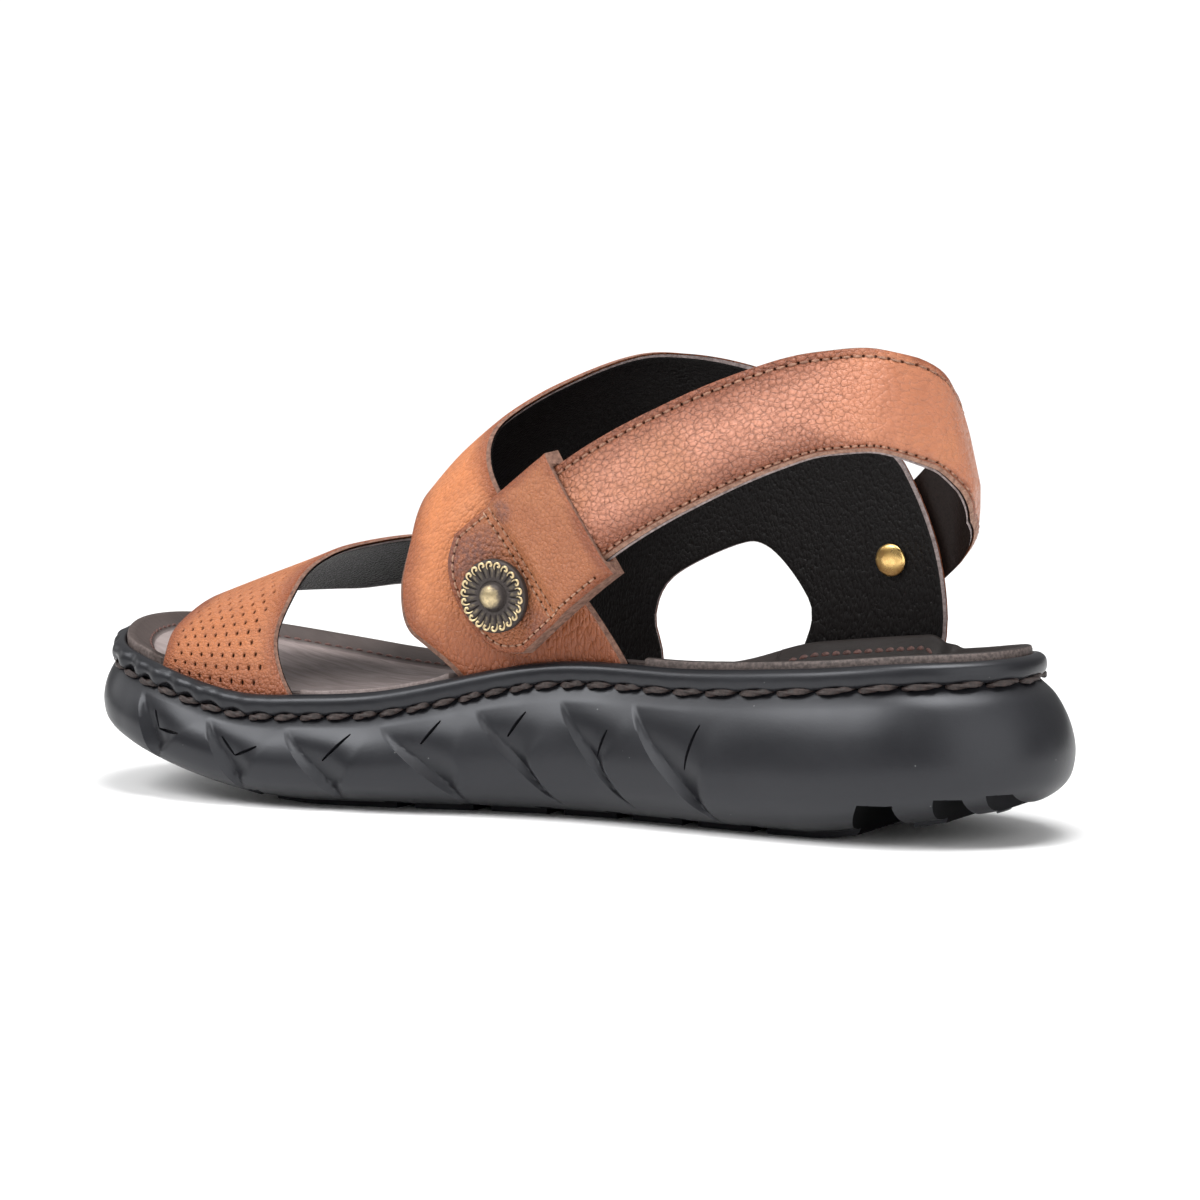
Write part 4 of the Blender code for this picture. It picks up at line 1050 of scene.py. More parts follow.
def pattern_piece(name, border, step, place, low, high, pits=NO_PITS, trim=(0.0, 0.0)):
    """Cut a flat pattern, lay it on a form and give it a wall with round edges, pits pressed in from outside.

    place(x, y, depth) gives points over pattern spots. low and high are the wall's faces, each a depth or a
    function of x and y. trim is how far the outer and the inner face end before the border, given likewise.
    Faces of the raw edge get the second material.
    """
    spots = [border]
    sinks = [np.zeros(len(border))]
    along = unit(np.roll(border, -1, axis=0) - np.roll(border, 1, axis=0))
    inward = np.stack((-along[:, 1], along[:, 0]), axis=-1)
    if not inside(border[:1] + EDGE_PROBE * inward[:1], border)[0]:
        inward = -inward
    for offset in EDGE_ROWS:
        row = border + offset * inward
        kept = inside(row, border) & (nearest(row, border) > EDGE_ROW_CLEAR * offset)
        spots.append(row[kept])
        sinks.append(np.zeros(kept.sum()))
    turns = ring_angles(PIT_SIDES)[:-1]
    ring = np.stack((pits.radius_x * np.cos(turns), pits.radius_y * np.sin(turns)), axis=-1)
    rims = []
    for share, sink in PIT_ROWS:
        start = sum(len(row) for row in spots)
        spots.append((pits.spots[:, None] + share * ring[None]).reshape(-1, 2))
        sinks.append(np.full(len(spots[-1]), sink * pits.depth))
        for pit in range(len(pits.spots)):
            first = start + pit * PIT_SIDES
            rims += [(first + k, first + (k + 1) % PIT_SIDES) for k in range(PIT_SIDES)]
    spots.append(pits.spots)
    sinks.append(np.full(len(pits.spots), pits.depth))
    lowest = border.min(axis=0)
    highest = border.max(axis=0)
    columns = np.arange(lowest[0], highest[0], step)
    rows = np.arange(lowest[1], highest[1], step * math.sqrt(3) / 2)
    fill = np.concatenate([np.stack((columns + 0.5 * step * (k % 2), np.full(len(columns), y)), axis=-1)
                           for k, y in enumerate(rows)])
    fill = fill[inside(fill, border)]
    fill = fill[nearest(fill, border) > EDGE_ROWS[-1] + FILL_CLEAR * step]
    if len(pits.spots):
        size = (pits.radius_x, pits.radius_y)
        fill = fill[nearest(fill / size, pits.spots / size) > PIT_CLEAR]
    spots.append(fill)
    sinks.append(np.zeros(len(fill)))
    spots = np.concatenate(spots)
    sinks = np.concatenate(sinks)
    count = len(border)
    edges = [(k, (k + 1) % count) for k in range(count)] + rims
    cut = delaunay_2d_cdt([Vector(spot) for spot in spots], edges, [list(range(count))], CUT_INSIDE, CUT_CLOSE)
    flat = np.array([tuple(spot) for spot in cut[0]])
    faces = [list(face) for face in cut[2]]
    sink = np.array([sinks[ids[0]] if ids else 0.0 for ids in cut[3]])
    from_edge = nearest(flat, border)
    round_off = EDGE_ROUND * np.clip(1 - from_edge / EDGE_ROUND_REACH, 0.0, 1.0) ** 2
    x, y = flat[:, 0], flat[:, 1]
    bottom = given(low, x, y)
    top = given(high, x, y)
    room = ROUND_ROOM * (top - bottom)
    over = drawn_in(flat, from_edge, border, inward, trim[0])
    under = drawn_in(flat, from_edge, border, inward, trim[1])
    inner = place(under[:, 0], under[:, 1], bottom + np.minimum(INNER_ROUND * round_off, room))
    outer = place(over[:, 0], over[:, 1], top - np.minimum(round_off, room) - sink)
    uses = dict.fromkeys((a, b) for face in faces for a, b in zip(face, face[1:] + face[:1]))
    total = len(flat)
    outer_rims = [(a, b) for a, b in uses if (b, a) not in uses]
    made = faces + [[k + total for k in reversed(face)] for face in faces]
    made += [[b, a, a + total, b + total] for a, b in outer_rims]
    points = np.concatenate((outer, inner))
    piece = from_faces(name, points, made)
    mesh = piece.data
    slots = np.zeros(len(made), int)
    slots[2 * len(faces):] = 1
    mesh.polygons.foreach_set("material_index", slots)
    carry(piece, "edge", nearest(points, points[[a for a, b in outer_rims]]))
    # How far each outer point is sunk into a pit; the tan material paints shade in the pits from it.
    carry(piece, "pressed", np.concatenate((np.minimum(sink, 1.0), np.zeros(total))))
    flat_map = mesh.uv_layers.new(name="pattern")
    corners = np.empty(len(mesh.loops), int)
    mesh.loops.foreach_get("vertex_index", corners)
    flat_map.data.foreach_set("uv", (flat[corners % total] * PATTERN_MM).ravel())
    return close_up(piece, 55)


def on_last(x, y, depth):
    """A point over the last at a pattern spot."""
    girth = y / GIRTH_SCALE
    return last_point(x, girth) + depth[:, None] * last_normal(x, girth)


def toe_pinholes(border):
    """Staggered rows of pinholes over the toe strap, clear of its edges and of a plain border at the rear."""
    spots = np.array([(x + 0.5 * HOLE_PITCH * (k % 2), y)
                      for k, y in enumerate(np.arange(*HOLE_GIRTHS, HOLE_ROW_PITCH))
                      for x in np.arange(*HOLE_STATIONS, HOLE_PITCH)])
    rear = np.array(cut_edge(WEDGE_OPENING[TOE_STRAP_REAR:]))
    kept = inside(spots, border) & (spots[:, 0] > np.interp(spots[:, 1], rear[::-1, 1], rear[::-1, 0]))
    kept &= (nearest(spots, border) > HOLE_MARGIN) & (nearest(spots, rear) > HOLE_REAR_MARGIN)
    return Pits(spots[kept], HOLE_WIDTH, HOLE_HEIGHT, HOLE_DEPTH)


def leather_grain_group():
    """Pebbled grain: cells with thin broken creases between them, fine pores, and a crease mask used for painted shade.
    Place is in millimetres.
    """
    tree, ins, outs = new_group("leather_grain", [("Place", "Vector", (0.0, 0.0, 0.0)), ("Cells", "Float", 0.6)],
                                [("Height", "Float"), ("Crease", "Float")])
    wander = put(tree, "ShaderNodeTexNoise", Vector=ins.outputs["Place"], Scale=0.55, Detail=3.0, Roughness=0.6)
    shifted = put(tree, "ShaderNodeVectorMath", {"operation": "MULTIPLY_ADD"})
    for socket, value in zip(shifted.inputs, (wander.outputs["Color"], (1.3, 1.3, 1.3), ins.outputs["Place"])):
        plug(tree, socket, value)
    border, pebble = (put(tree, "ShaderNodeTexVoronoi", {"feature": feature}, Vector=shifted.outputs[0],
                          Scale=ins.outputs["Cells"], Randomness=1.0).outputs["Distance"]
                      for feature in ("DISTANCE_TO_EDGE", "F1"))
    whole = ranged(tree, noise(tree, ins.outputs["Place"], 0.9, 2.0), 0.35, 0.62, 0.25, 1.0)
    crease = maths(tree, "MULTIPLY", ranged(tree, border, 0.16, 0.0), whole)
    dome = maths(tree, "MULTIPLY_ADD", maths(tree, "POWER", pebble, 2.0), -1.3, 1.0)
    pores = maths(tree, "MULTIPLY", noise(tree, ins.outputs["Place"], 4.0, 4.0, 0.65), 0.35)
    raised = maths(tree, "SUBTRACT", dome, maths(tree, "MULTIPLY", crease, 0.3))
    feed(tree, outs, Height=maths(tree, "ADD", raised, pores), Crease=crease)
    return tree


LEATHER_GRAIN = leather_grain_group()


def burnished_tan_group():
    """Tan leather, clouded by hand and rubbed with a darker red-brown towards its edges and its foot, with painted
    shade in the creases of its grain.
    """
    tree, ins, outs = new_group("burnished_tan",
                                [("Edge", "Float", 10.0), ("Reach", "Float", 6.0), ("Foot", "Float", 0.0),
                                 ("Crease", "Float", 0.0), ("Tan", "Color", (0.33, 0.12, 0.05, 1)),
                                 ("Burnish", "Color", (0.12, 0.035, 0.02, 1))],
                                [("Colour", "Color"), ("Roughness", "Float")])
    place = on_piece(tree)
    clouds = noise(tree, place, 45.0, 4.0, 0.6)
    streaks = noise(tree, place, 240.0, 5.0, 0.65)
    wide = maths(tree, "MULTIPLY_ADD", clouds, 8.0, -4.0)
    away = maths(tree, "DIVIDE", maths(tree, "ADD", ins.outputs["Edge"], wide), ins.outputs["Reach"])
    rubbed = maths(tree, "MAXIMUM", ranged(tree, away, 0.0, 1.0, 0.8, 0.0), ins.outputs["Foot"])
    pale = mixed(tree, ranged(tree, clouds, 0.45, 0.75, 0.0, 0.5), ins.outputs["Tan"], (0.47, 0.19, 0.085, 1))
    pale = mixed(tree, ranged(tree, streaks, 0.4, 0.7, 0.0, 0.25), pale, (0.22, 0.07, 0.032, 1))
    rubbed = mixed(tree, rubbed, pale, ins.outputs["Burnish"])
    # Painted shade: the grain's creases are darkened towards the burnish colour.
    crease_shaded = mixed(tree, maths(tree, "MULTIPLY", ins.outputs["Crease"], 0.19), rubbed, ins.outputs["Burnish"])
    feed(tree, outs, Colour=crease_shaded, Roughness=ranged(tree, streaks, 0.3, 0.7, 0.34, 0.44))
    return tree


BURNISHED_TAN = burnished_tan_group()
Shade = namedtuple("Shade", "first last tint")


def tan_material(name, cells, depth, reach, tan, burnish, lengthwise=1.0, foot=0.0, fade=(-300.0, -290.0), turn=None,
                 scuffs=()):
    """Tan leather of a grain size and depth, with its own tint.

    lengthwise stretches the grain along the pattern, foot is the height of a darker base, and the grain is weak
    before the first and full after the second mark of fade along the pattern. turn says where along the pattern
    the tint goes over to another, and scuffs are dull mauve patches on it.
    """
    material, tree, shader = new_material(name)
    flat = put(tree, "ShaderNodeUVMap", {"uv_map": "pattern"}).outputs["UV"]
    place = put(tree, "ShaderNodeMapping", Vector=flat, Rotation=(0.0, 0.0, 0.35),
                Scale=(1 / PATTERN_MM / lengthwise, 1 / PATTERN_MM, 1.0)).outputs["Vector"]
    spot = put(tree, "ShaderNodeSeparateXYZ", Vector=flat)
    grain = with_group(tree, LEATHER_GRAIN, Place=place, Cells=cells)
    strong = ranged(tree, spot.outputs["X"], fade[0] * PATTERN_MM, fade[1] * PATTERN_MM, 0.2, 1.0)
    reach = maths(tree, "MULTIPLY", strong, reach)
    base = ranged(tree, spot.outputs["Y"], 0.0, foot * PATTERN_MM + 0.0001, 0.85 if foot else 0.0, 0.0)
    # The grain's crease mask, scaled by depth, feeds the painted shade in the creases.
    crease = maths(tree, "MULTIPLY", grain.outputs["Crease"], maths(tree, "MULTIPLY", strong, depth))
    if turn:
        turned = ranged(tree, spot.outputs["X"], turn.first * PATTERN_MM, turn.last * PATTERN_MM)
        tan = mixed(tree, turned, tan, turn.tint)
    tint = with_group(tree, BURNISHED_TAN, Edge=painted(tree, "edge"), Reach=reach, Foot=base, Crease=crease, Tan=tan,
                      Burnish=burnish)
    colour = tint.outputs["Colour"]
    for scuff in scuffs:
        away = put(tree, "ShaderNodeVectorMath", {"operation": "DISTANCE"})
        for socket, value in zip(away.inputs, (flat, (scuff.x * PATTERN_MM, scuff.y * PATTERN_MM, 0.0))):
            plug(tree, socket, value)
        reach = scuff.radius * PATTERN_MM
        rubbed = ranged(tree, away.outputs["Value"], reach, 0.4 * reach, 0.0, scuff.strength)
        patchy = ranged(tree, noise(tree, place, 0.7, 4.0), 0.35, 0.6, 0.3, 1.0)
        colour = mixed(tree, maths(tree, "MULTIPLY", rubbed, patchy), colour, (0.15, 0.058, 0.042, 1))
    # Painted shade in the pinholes and needle holes: the colour goes near black towards the bottom of each pit.
    pit = maths(tree, "MINIMUM", maths(tree, "MULTIPLY", painted(tree, "pressed"), 1.1), 0.9)
    feed(tree, shader, Base_Color=mixed(tree, pit, colour, (0.03, 0.009, 0.005, 1)),
         Roughness=tint.outputs["Roughness"], Specular_IOR_Level=0.42)
    bumped(tree, shader, maths(tree, "MULTIPLY", grain.outputs["Height"], strong), depth, 0.0013)
    return material


CUT_LEATHER = Fibre(700.0, 5.0, 0.3, 0.8, 0.6, 0.0005)
TAN = (0.51, 0.176, 0.064, 1)
TOE_TAN = Shade(45.0, 72.0, (0.405, 0.139, 0.052, 1))
BURNISH = (0.172, 0.042, 0.015, 1)
upper_edge = upper_border()
upper = pattern_piece("upper_leather", upper_edge, UPPER_STEP, on_last, LINING + GLUE, WALL, toe_pinholes(upper_edge),
                      (UPPER_BEVEL, 0.0))
upper.data.materials.append(tan_material("upper_tan", 0.85, 0.50, 7.5, TAN, BURNISH, foot=24.0, turn=TOE_TAN))
raw_edge = fibre_material("raw_edge", CUT_LEATHER, (0.075, 0.032, 0.021, 1), (0.22, 0.115, 0.078, 1))
upper.data.materials.append(raw_edge)
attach(upper, "root")
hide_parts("upper")

# Upper lining
# Thin black grained leather glued to the inside of the upper. It is trimmed at a slant along the edges, where its
# pale cut shows.
LINING_TRIM = 1.0
OPENING_TRIM = 0.1
OPENING_MARGIN = 3
OPENING_ABOVE = 0.88


def lining_material(name, colour, pale, cells, depth):
    """Thin dark lining leather with a soft shine on its grain, and painted shade in the grain's creases."""
    material, tree, shader = new_material(name)
    flat = put(tree, "ShaderNodeUVMap", {"uv_map": "pattern"}).outputs["UV"]
    place = put(tree, "ShaderNodeMapping", Vector=flat, Scale=(1 / PATTERN_MM, 1 / PATTERN_MM, 1.0)).outputs["Vector"]
    grain = with_group(tree, LEATHER_GRAIN, Place=place, Cells=cells)
    # Painted shade: the lining is darker in the grain's creases.
    tint = mixed(tree, grain.outputs["Crease"], pale, colour)
    feed(tree, shader, Base_Color=tint, Roughness=0.42, Specular_IOR_Level=0.19)
    bumped(tree, shader, grain.outputs["Height"], depth, 0.0010)
    return material


def lining_trim(x, y):
    """How far the inner face ends before the edge: least round the lateral opening."""
    opening = (x > LATERAL_OPENING[-2].x - OPENING_MARGIN) & (x < LATERAL_OPENING[2].x + OPENING_MARGIN)
    return np.where(opening & (y > OPENING_ABOVE * GIRTH_SCALE), OPENING_TRIM, LINING_TRIM)


lining = pattern_piece("upper_lining", upper_edge, UPPER_STEP, on_last, 0.0, LINING, trim=(0.0, lining_trim))
lining.data.materials.append(lining_material("black_lining", (0.003, 0.0024, 0.0023, 1),
                                             (0.0050, 0.0041, 0.0040, 1), 1.2, 0.42))
lining_edge = fibre_material("lining_edge", CUT_LEATHER, (0.13, 0.098, 0.094, 1), (0.33, 0.27, 0.26, 1))
lining.data.materials.append(lining_edge)
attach(lining, "root")

# Sling strap
# The heel strap: pebbled tan leather, sewn to its lining along both edges.
# It runs from the stud on the lateral quarter round the heel into the sleeve on the medial side.
GAP = 0.3
ANKLE_MIDDLE = -40.0
ANKLE_LENGTH = 76.0
ANKLE_WIDTH = 35.0
ANKLE_SPOTS = 721
ANKLE_LEAN = 0.26
ANKLE_LEAN_HEIGHT = 93.0
HEEL_FREE = 0.15
HEEL_BLEND = 0.25
SURFACE_BLEND = 3.0
LEAST_LEAN = 0.4
STRAP_PATH = table("around height",
    (-57, 63), (-40, 76), (-15, 96), (2, 111), (18, 118), (34, 118), (50, 115), (75, 105), (108, 86.5), (148, 55.5))
STRAP_WIDTH = 30.0
STRAP_HEEL_WIDTH = 27.5
STRAP_THICKNESS = 3.0
STRAP_LINING = 0.9
STRAP_END_ROUND = 13.0
STRAP_END_STEPS = 16
STRAP_LIFT_START = 0.35
STRAP_LIFT_RUN = 0.3
SLEEVE_LENGTH = 50.0
SLEEVE_SKIN = 1.6
POCKET_LENGTH = 18.0
STRAP_STEP = 1.7
STITCH_INSET = 2.1
STITCH_PITCH = 3.0
NEEDLE_RADIUS = 0.42
NEEDLE_DEPTH = 0.7
PUFF = 0.35
PUFF_RUN = 5.0
TROUGH = 0.35
TROUGH_WIDTH = 0.7
WIDER_FROM = 0.5
WIDER_RUN = 0.35
STRAP_END_CLEAR = 3
STRAP_EDGE_STEPS = 90
STRAP_TURN_STEPS = 40
UNSEWN = 16
STRAP_BEVEL = 1.5
STRAP_LINING_BEVEL = 0.5


def upper_side(x, height, side, out):
    """How far from the middle the last lies at a station and height, moved out by a wall or a gap."""
    phi = phi_at(x, side)
    foot = seam_height(phi) + LEG_FOOT
    ridge = curve(LAST_RIDGE, "height", x)
    share = np.clip((height - foot) / (ridge - foot), 0.0, 1.0)
    girth = np.arcsin(share ** (1 / TOP_POWER)) / math.pi
    girth = np.where(side > 0, girth, 1 - girth)
    lean = np.maximum(LEAST_LEAN, np.abs(last_normal(x, girth)[..., 1]))
    return np.abs(last_point(x, girth)[..., 1]) + out / lean


def ankle_angles():
    """Plan angle of the ankle oval against the way round it, from the back of the heel."""
    angle = np.linspace(0.0, math.pi, ANKLE_SPOTS)
    return summed(np.hypot(np.diff(-ANKLE_LENGTH * np.cos(angle)), np.diff(ANKLE_WIDTH * np.sin(angle)))), angle


ANKLE_WAY, ANKLE_ANGLE = ankle_angles()


def strap_surface(around, height, depth):
    """A point on the ankle oval, or on the upper where that lies further out."""
    side = np.where(around >= 0, 1.0, -1.0)
    angle = np.interp(np.abs(around), ANKLE_WAY, ANKLE_ANGLE)
    ahead = np.minimum(1.0, angle / (math.pi / 2))
    rear = np.maximum(0.0, np.cos(angle))
    lean = ANKLE_LEAN * np.maximum(0.0, height - ANKLE_LEAN_HEIGHT) * rear ** 2
    x = ANKLE_MIDDLE - ANKLE_LENGTH * np.cos(angle) + lean
    oval = ANKLE_WIDTH * np.sin(angle)
    wall = upper_side(x, height, side, WALL + GAP)
    from_heel = np.clip((ahead - HEEL_FREE) / HEEL_BLEND, 0.0, 1.0)
    y = oval + 0.5 * (wall - oval + np.hypot(oval - wall, SURFACE_BLEND)) * from_heel
    normal = np.stack((-np.cos(angle) / ANKLE_LENGTH, side * np.sin(angle) / ANKLE_WIDTH, 0.0 * angle), axis=-1)
    return np.stack((x, side * y, height), axis=-1) + depth[..., None] * unit(normal)


def strap_middle():
    """The strap's middle line, unrolled, with its directions and the length along it."""
    line = np.array(through(STRAP_PATH, 1.0))
    return line, unit(np.gradient(line, axis=0)), way_along(line)


STRAP_LINE, STRAP_WAY, STRAP_LENGTHS = strap_middle()
STRAP_LENGTH = STRAP_LENGTHS[-1]


def strap_place(along, across, depth):
    """A point of the strap: along from its lateral end, across upwards, depth over the surface."""
    past = along - np.clip(along, 0.0, STRAP_LENGTH)
    spot = [np.interp(along, STRAP_LENGTHS, STRAP_LINE[:, k]) for k in (0, 1)]
    way = [np.interp(along, STRAP_LENGTHS, STRAP_WAY[:, k]) for k in (0, 1)]
    size = np.hypot(*way)
    way = [part / size for part in way]
    around = spot[0] + past * way[0] - across * way[1]
    height = spot[1] + past * way[1] + across * way[0]
    return strap_surface(around, height, depth)


def strap_lift(along):
    """Depth of the strap's inner face: on the leather at its lateral end, inside the sleeve at the other."""
    return (SLEEVE_SKIN + GAP) * soft(STRAP_LIFT_START, STRAP_LIFT_START + STRAP_LIFT_RUN, along / STRAP_LENGTH)


def strap_half(along):
    """Half the strap's width, a little less on the lateral side."""
    share = np.clip((along / STRAP_LENGTH - WIDER_FROM) / WIDER_RUN, 0.0, 1.0)
    return (STRAP_HEEL_WIDTH + (STRAP_WIDTH - STRAP_HEEL_WIDTH) * share) / 2


STRAP_FRONT = STRAP_LENGTH - SLEEVE_LENGTH + POCKET_LENGTH


def strap_border():
    """The strap's cut: round at its lateral end and square in the sleeve."""
    turn = math.pi * (0.5 + np.arange(STRAP_END_STEPS + 1) / STRAP_END_STEPS)
    border = [np.array((STRAP_END_ROUND * (1 + math.cos(t)), STRAP_HEEL_WIDTH / 2 * math.sin(t))) for t in turn]
    rear = STRAP_END_ROUND + STRAP_END_CLEAR
    for start, end, side in ((rear, STRAP_FRONT, -1), (STRAP_FRONT, rear, 1)):
        border += [np.array((along, side * strap_half(along))) for along in np.linspace(start, end, STRAP_EDGE_STEPS)]
    return with_straight_runs(border, EDGE_STEP)


def strap_stitch_line(inset):
    """A line inside the strap's edge, from the sleeve round the lateral end and back."""
    front = STRAP_FRONT - UNSEWN
    low = [(along, -strap_half(along) + inset) for along in np.arange(front, STRAP_END_ROUND, -1.0)]
    turn = np.linspace(1.5 * math.pi, 0.5 * math.pi, STRAP_TURN_STEPS)
    end = [(STRAP_END_ROUND + (STRAP_END_ROUND - inset) * math.cos(t), (STRAP_HEEL_WIDTH / 2 - inset) * math.sin(t))
           for t in turn]
    high = [(along, strap_half(along) - inset) for along in np.arange(STRAP_END_ROUND, front, 1.0)]
    return np.array(low + end + high)


def strap_puff(along, across):
    """Rise of the leather between its stitch rows, and the trough along each row."""
    inset = strap_half(along) - np.abs(across)
    crown = PUFF * soft(STITCH_INSET, STITCH_INSET + PUFF_RUN, inset)
    trough = TROUGH * np.exp(-((inset - STITCH_INSET) / TROUGH_WIDTH) ** 2)
    return crown - trough


def on_strap(x, y, depth):
    """A point over the strap's inner face at a pattern spot."""
    return strap_place(x, y, strap_lift(x) + depth)


def lower_edge(amount):
    """A trim of the strap's lower edge only, which is cut at a slant."""
    return lambda x, y: amount * (y < 0)


strap_needles = evenly(strap_stitch_line(STITCH_INSET), STITCH_PITCH)
strap = pattern_piece("strap_leather", strap_border(), STRAP_STEP, on_strap, STRAP_LINING + GLUE,
                      lambda x, y: STRAP_THICKNESS - PUFF + strap_puff(x, y),
                      Pits(strap_needles, NEEDLE_RADIUS, NEEDLE_RADIUS, NEEDLE_DEPTH),
                      (lower_edge(STRAP_BEVEL), lower_edge(STRAP_LINING_BEVEL)))
STRAP_FADE = (STRAP_LENGTH - 150.0, STRAP_LENGTH - 110.0)
strap.data.materials.append(tan_material("strap_tan", 0.76, 1.00, 11.5, (0.40, 0.150, 0.078, 1), BURNISH, 1.35,
                                         fade=STRAP_FADE, turn=Shade(*STRAP_FADE, (0.64, 0.278, 0.180, 1))))
strap.data.materials.append(fibre_material("strap_edge", CUT_LEATHER, (0.15, 0.070, 0.045, 1),
                                           (0.35, 0.20, 0.14, 1)))
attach(strap, "root")
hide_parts("sling_strap")

# Strap lining
# Thin dark brown leather on the inside of the strap, glued to it and sewn through with it.
strap_lining = pattern_piece("strap_lining", strap_border(), STRAP_STEP, on_strap, 0.0, STRAP_LINING,
                             trim=(lower_edge(STRAP_LINING_BEVEL), 0.0))
strap_lining.data.materials.append(lining_material("brown_lining", (0.007, 0.0042, 0.0036, 1),
                                                   (0.014, 0.0085, 0.0072, 1), 1.1, 0.15))
strap_lining.data.materials.append(lining_edge)
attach(strap_lining, "root")

# Stitching of the strap
# Brown thread from needle hole to needle hole, each stitch a short grain that dips in at both ends.
SEWN_RADIUS = 0.34
SEWN_RISE = 0.22


def over_strap(x, y, lift):
    """A point over the strap's outer face."""
    return on_strap(x, y, STRAP_THICKNESS - PUFF + strap_puff(x, y) + lift)


brown_thread = fibre_material("brown_thread", WAXED, (0.14, 0.058, 0.032, 1), (0.34, 0.175, 0.11, 1))
strap_thread = sewn_row("strap_thread", strap_needles, over_strap, SEWN_RADIUS, SEWN_RISE)
strap_thread.data.materials.append(brown_thread)
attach(strap_thread, "root")

# Sleeve
# A tab of tan leather, doubled and sewn round its border. Its rear half is a pocket for the strap's end, and its
# round front end is fixed to the instep band by the medial stud.
SLEEVE_WIDTH = 39.0
SLEEVE_FRONT_THICKNESS = 4.4
SLEEVE_RAMP = 6.0
SLEEVE_STEP = 1.5
FLANK_FROM = 1.0
LOW_FLANK = 0.45
HIGH_FLANK = 0.2
SLEEVE_BEVEL = 0.5
POCKET_BEHIND = 8
POCKET_EDGE_STEP = 2.0
POCKET_STEP = 3.0
SLEEVE_REAR = STRAP_LENGTH - SLEEVE_LENGTH
SLEEVE_FRONT = table("along across",
    (0.76, 1.00), (0.90, 0.72), (0.98, 0.28), (1.00, -0.30), (0.95, -0.74), (0.82, -1.00))


def round_front(step):
    """The round front of the sleeve's cut."""
    return through([(SLEEVE_REAR + row.along * SLEEVE_LENGTH, row.across * SLEEVE_WIDTH / 2) for row in SLEEVE_FRONT],
                   step)


def sleeve_border():
    """The sleeve's cut: square behind and round in front."""
    rear = [np.array((SLEEVE_REAR, side * SLEEVE_WIDTH / 2)) for side in (-1, 1)]
    return with_straight_runs(rear + round_front(EDGE_STEP), EDGE_STEP)


def sleeve_top(x, y):
    """Height of the sleeve's outer face: full over the strap's end, thin where its skins are sewn together."""
    full = 2 * SLEEVE_SKIN + STRAP_THICKNESS + 2 * GAP
    front = soft(0.0, SLEEVE_RAMP, x - SLEEVE_REAR - POCKET_LENGTH - SLEEVE_SKIN)
    flank = soft(STRAP_WIDTH / 2 - FLANK_FROM, SLEEVE_WIDTH / 2, np.abs(y))
    flank = np.where(y < 0, flank * LOW_FLANK, flank * HIGH_FLANK)
    return full + (SLEEVE_FRONT_THICKNESS - full) * np.maximum(front, flank)


SLEEVE_INSET = 2.4
SLEEVE_PITCH = STITCH_PITCH * 0.85
SLEEVE_MIDDLE = 0.6
CROSS_ROWS = [26.5, 24.2]
CROSS_INSET = 0.9
SLOT_CLEAR = 6.0


def sleeve_stitch_lines():
    """Needle holes of the sleeve's rows: round the border, and twice across behind the stud."""
    half = SLEEVE_WIDTH / 2 - SLEEVE_INSET
    middle = np.array((SLEEVE_REAR + SLEEVE_MIDDLE * SLEEVE_LENGTH, 0.0))
    front = [spot + unit(middle - spot) * SLEEVE_INSET for spot in round_front(1.0)]
    border = [np.array((SLEEVE_REAR + CROSS_ROWS[0], half))] + front + [np.array((SLEEVE_REAR + SLOT_CLEAR, -half))]
    lines = [evenly(np.array(border), SLEEVE_PITCH)]
    for along in CROSS_ROWS:
        across = np.array(((SLEEVE_REAR + along, SLEEVE_WIDTH / 2 - CROSS_INSET), (SLEEVE_REAR + along, -half)))
        lines.append(evenly(across, SLEEVE_PITCH))
    return lines


sleeve_edge = sleeve_border()
sleeve_needles = sleeve_stitch_lines()
sleeve_pits = np.concatenate([sleeve_needles[0]] + [needles[1:-1] for needles in sleeve_needles[1:]])
sleeve = pattern_piece("sleeve_leather", sleeve_edge, SLEEVE_STEP, strap_place, 0.0, sleeve_top,
                       Pits(sleeve_pits, NEEDLE_RADIUS, NEEDLE_RADIUS, NEEDLE_DEPTH), (SLEEVE_BEVEL, 0.0))
pocket_half = STRAP_WIDTH / 2 + GAP
pocket_front = SLEEVE_REAR + POCKET_LENGTH + GAP
pocket_rear = SLEEVE_REAR - POCKET_BEHIND
pocket_corners = [(pocket_rear, -pocket_half), (pocket_rear, pocket_half), (pocket_front, pocket_half),
                  (pocket_front, -pocket_half)]
pocket_border = with_straight_runs([np.array(corner) for corner in pocket_corners], POCKET_EDGE_STEP)
cut_with(sleeve, pattern_piece("pocket", pocket_border, POCKET_STEP, strap_place, SLEEVE_SKIN,
                               SLEEVE_SKIN + STRAP_THICKNESS + 2 * GAP))
SLEEVE_SCUFFS = table("x y radius strength",
    (STRAP_LENGTH - 11.0, 12.0, 9.0, 0.9), (STRAP_LENGTH - 19.0, 11.0, 7.0, 0.7),
    (SLEEVE_REAR + 20.5, 14.0, 4.5, 0.8), (STRAP_LENGTH - 18.5, -15.5, 6.0, 0.6))
sleeve.data.materials.append(tan_material("sleeve_tan", 0.85, 0.55, 4.0, (0.315, 0.106, 0.042, 1), BURNISH,
                                          scuffs=SLEEVE_SCUFFS))
sleeve.data.materials.append(raw_edge)
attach(sleeve, "root")
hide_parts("sleeve")

# Stitching of the sleeve
# Pale thread: one row round the border, and two rows across that close the pocket in front of the strap's end.
SLEEVE_THREAD_RADIUS = 0.26
SLEEVE_THREAD_RISE = 0.16
pale_thread = fibre_material("pale_thread", WAXED, (0.20, 0.095, 0.055, 1), (0.46, 0.27, 0.18, 1))


def over_sleeve(x, y, lift):
    """A point over the sleeve's outer face."""
    return strap_place(x, y, sleeve_top(x, y) + lift)


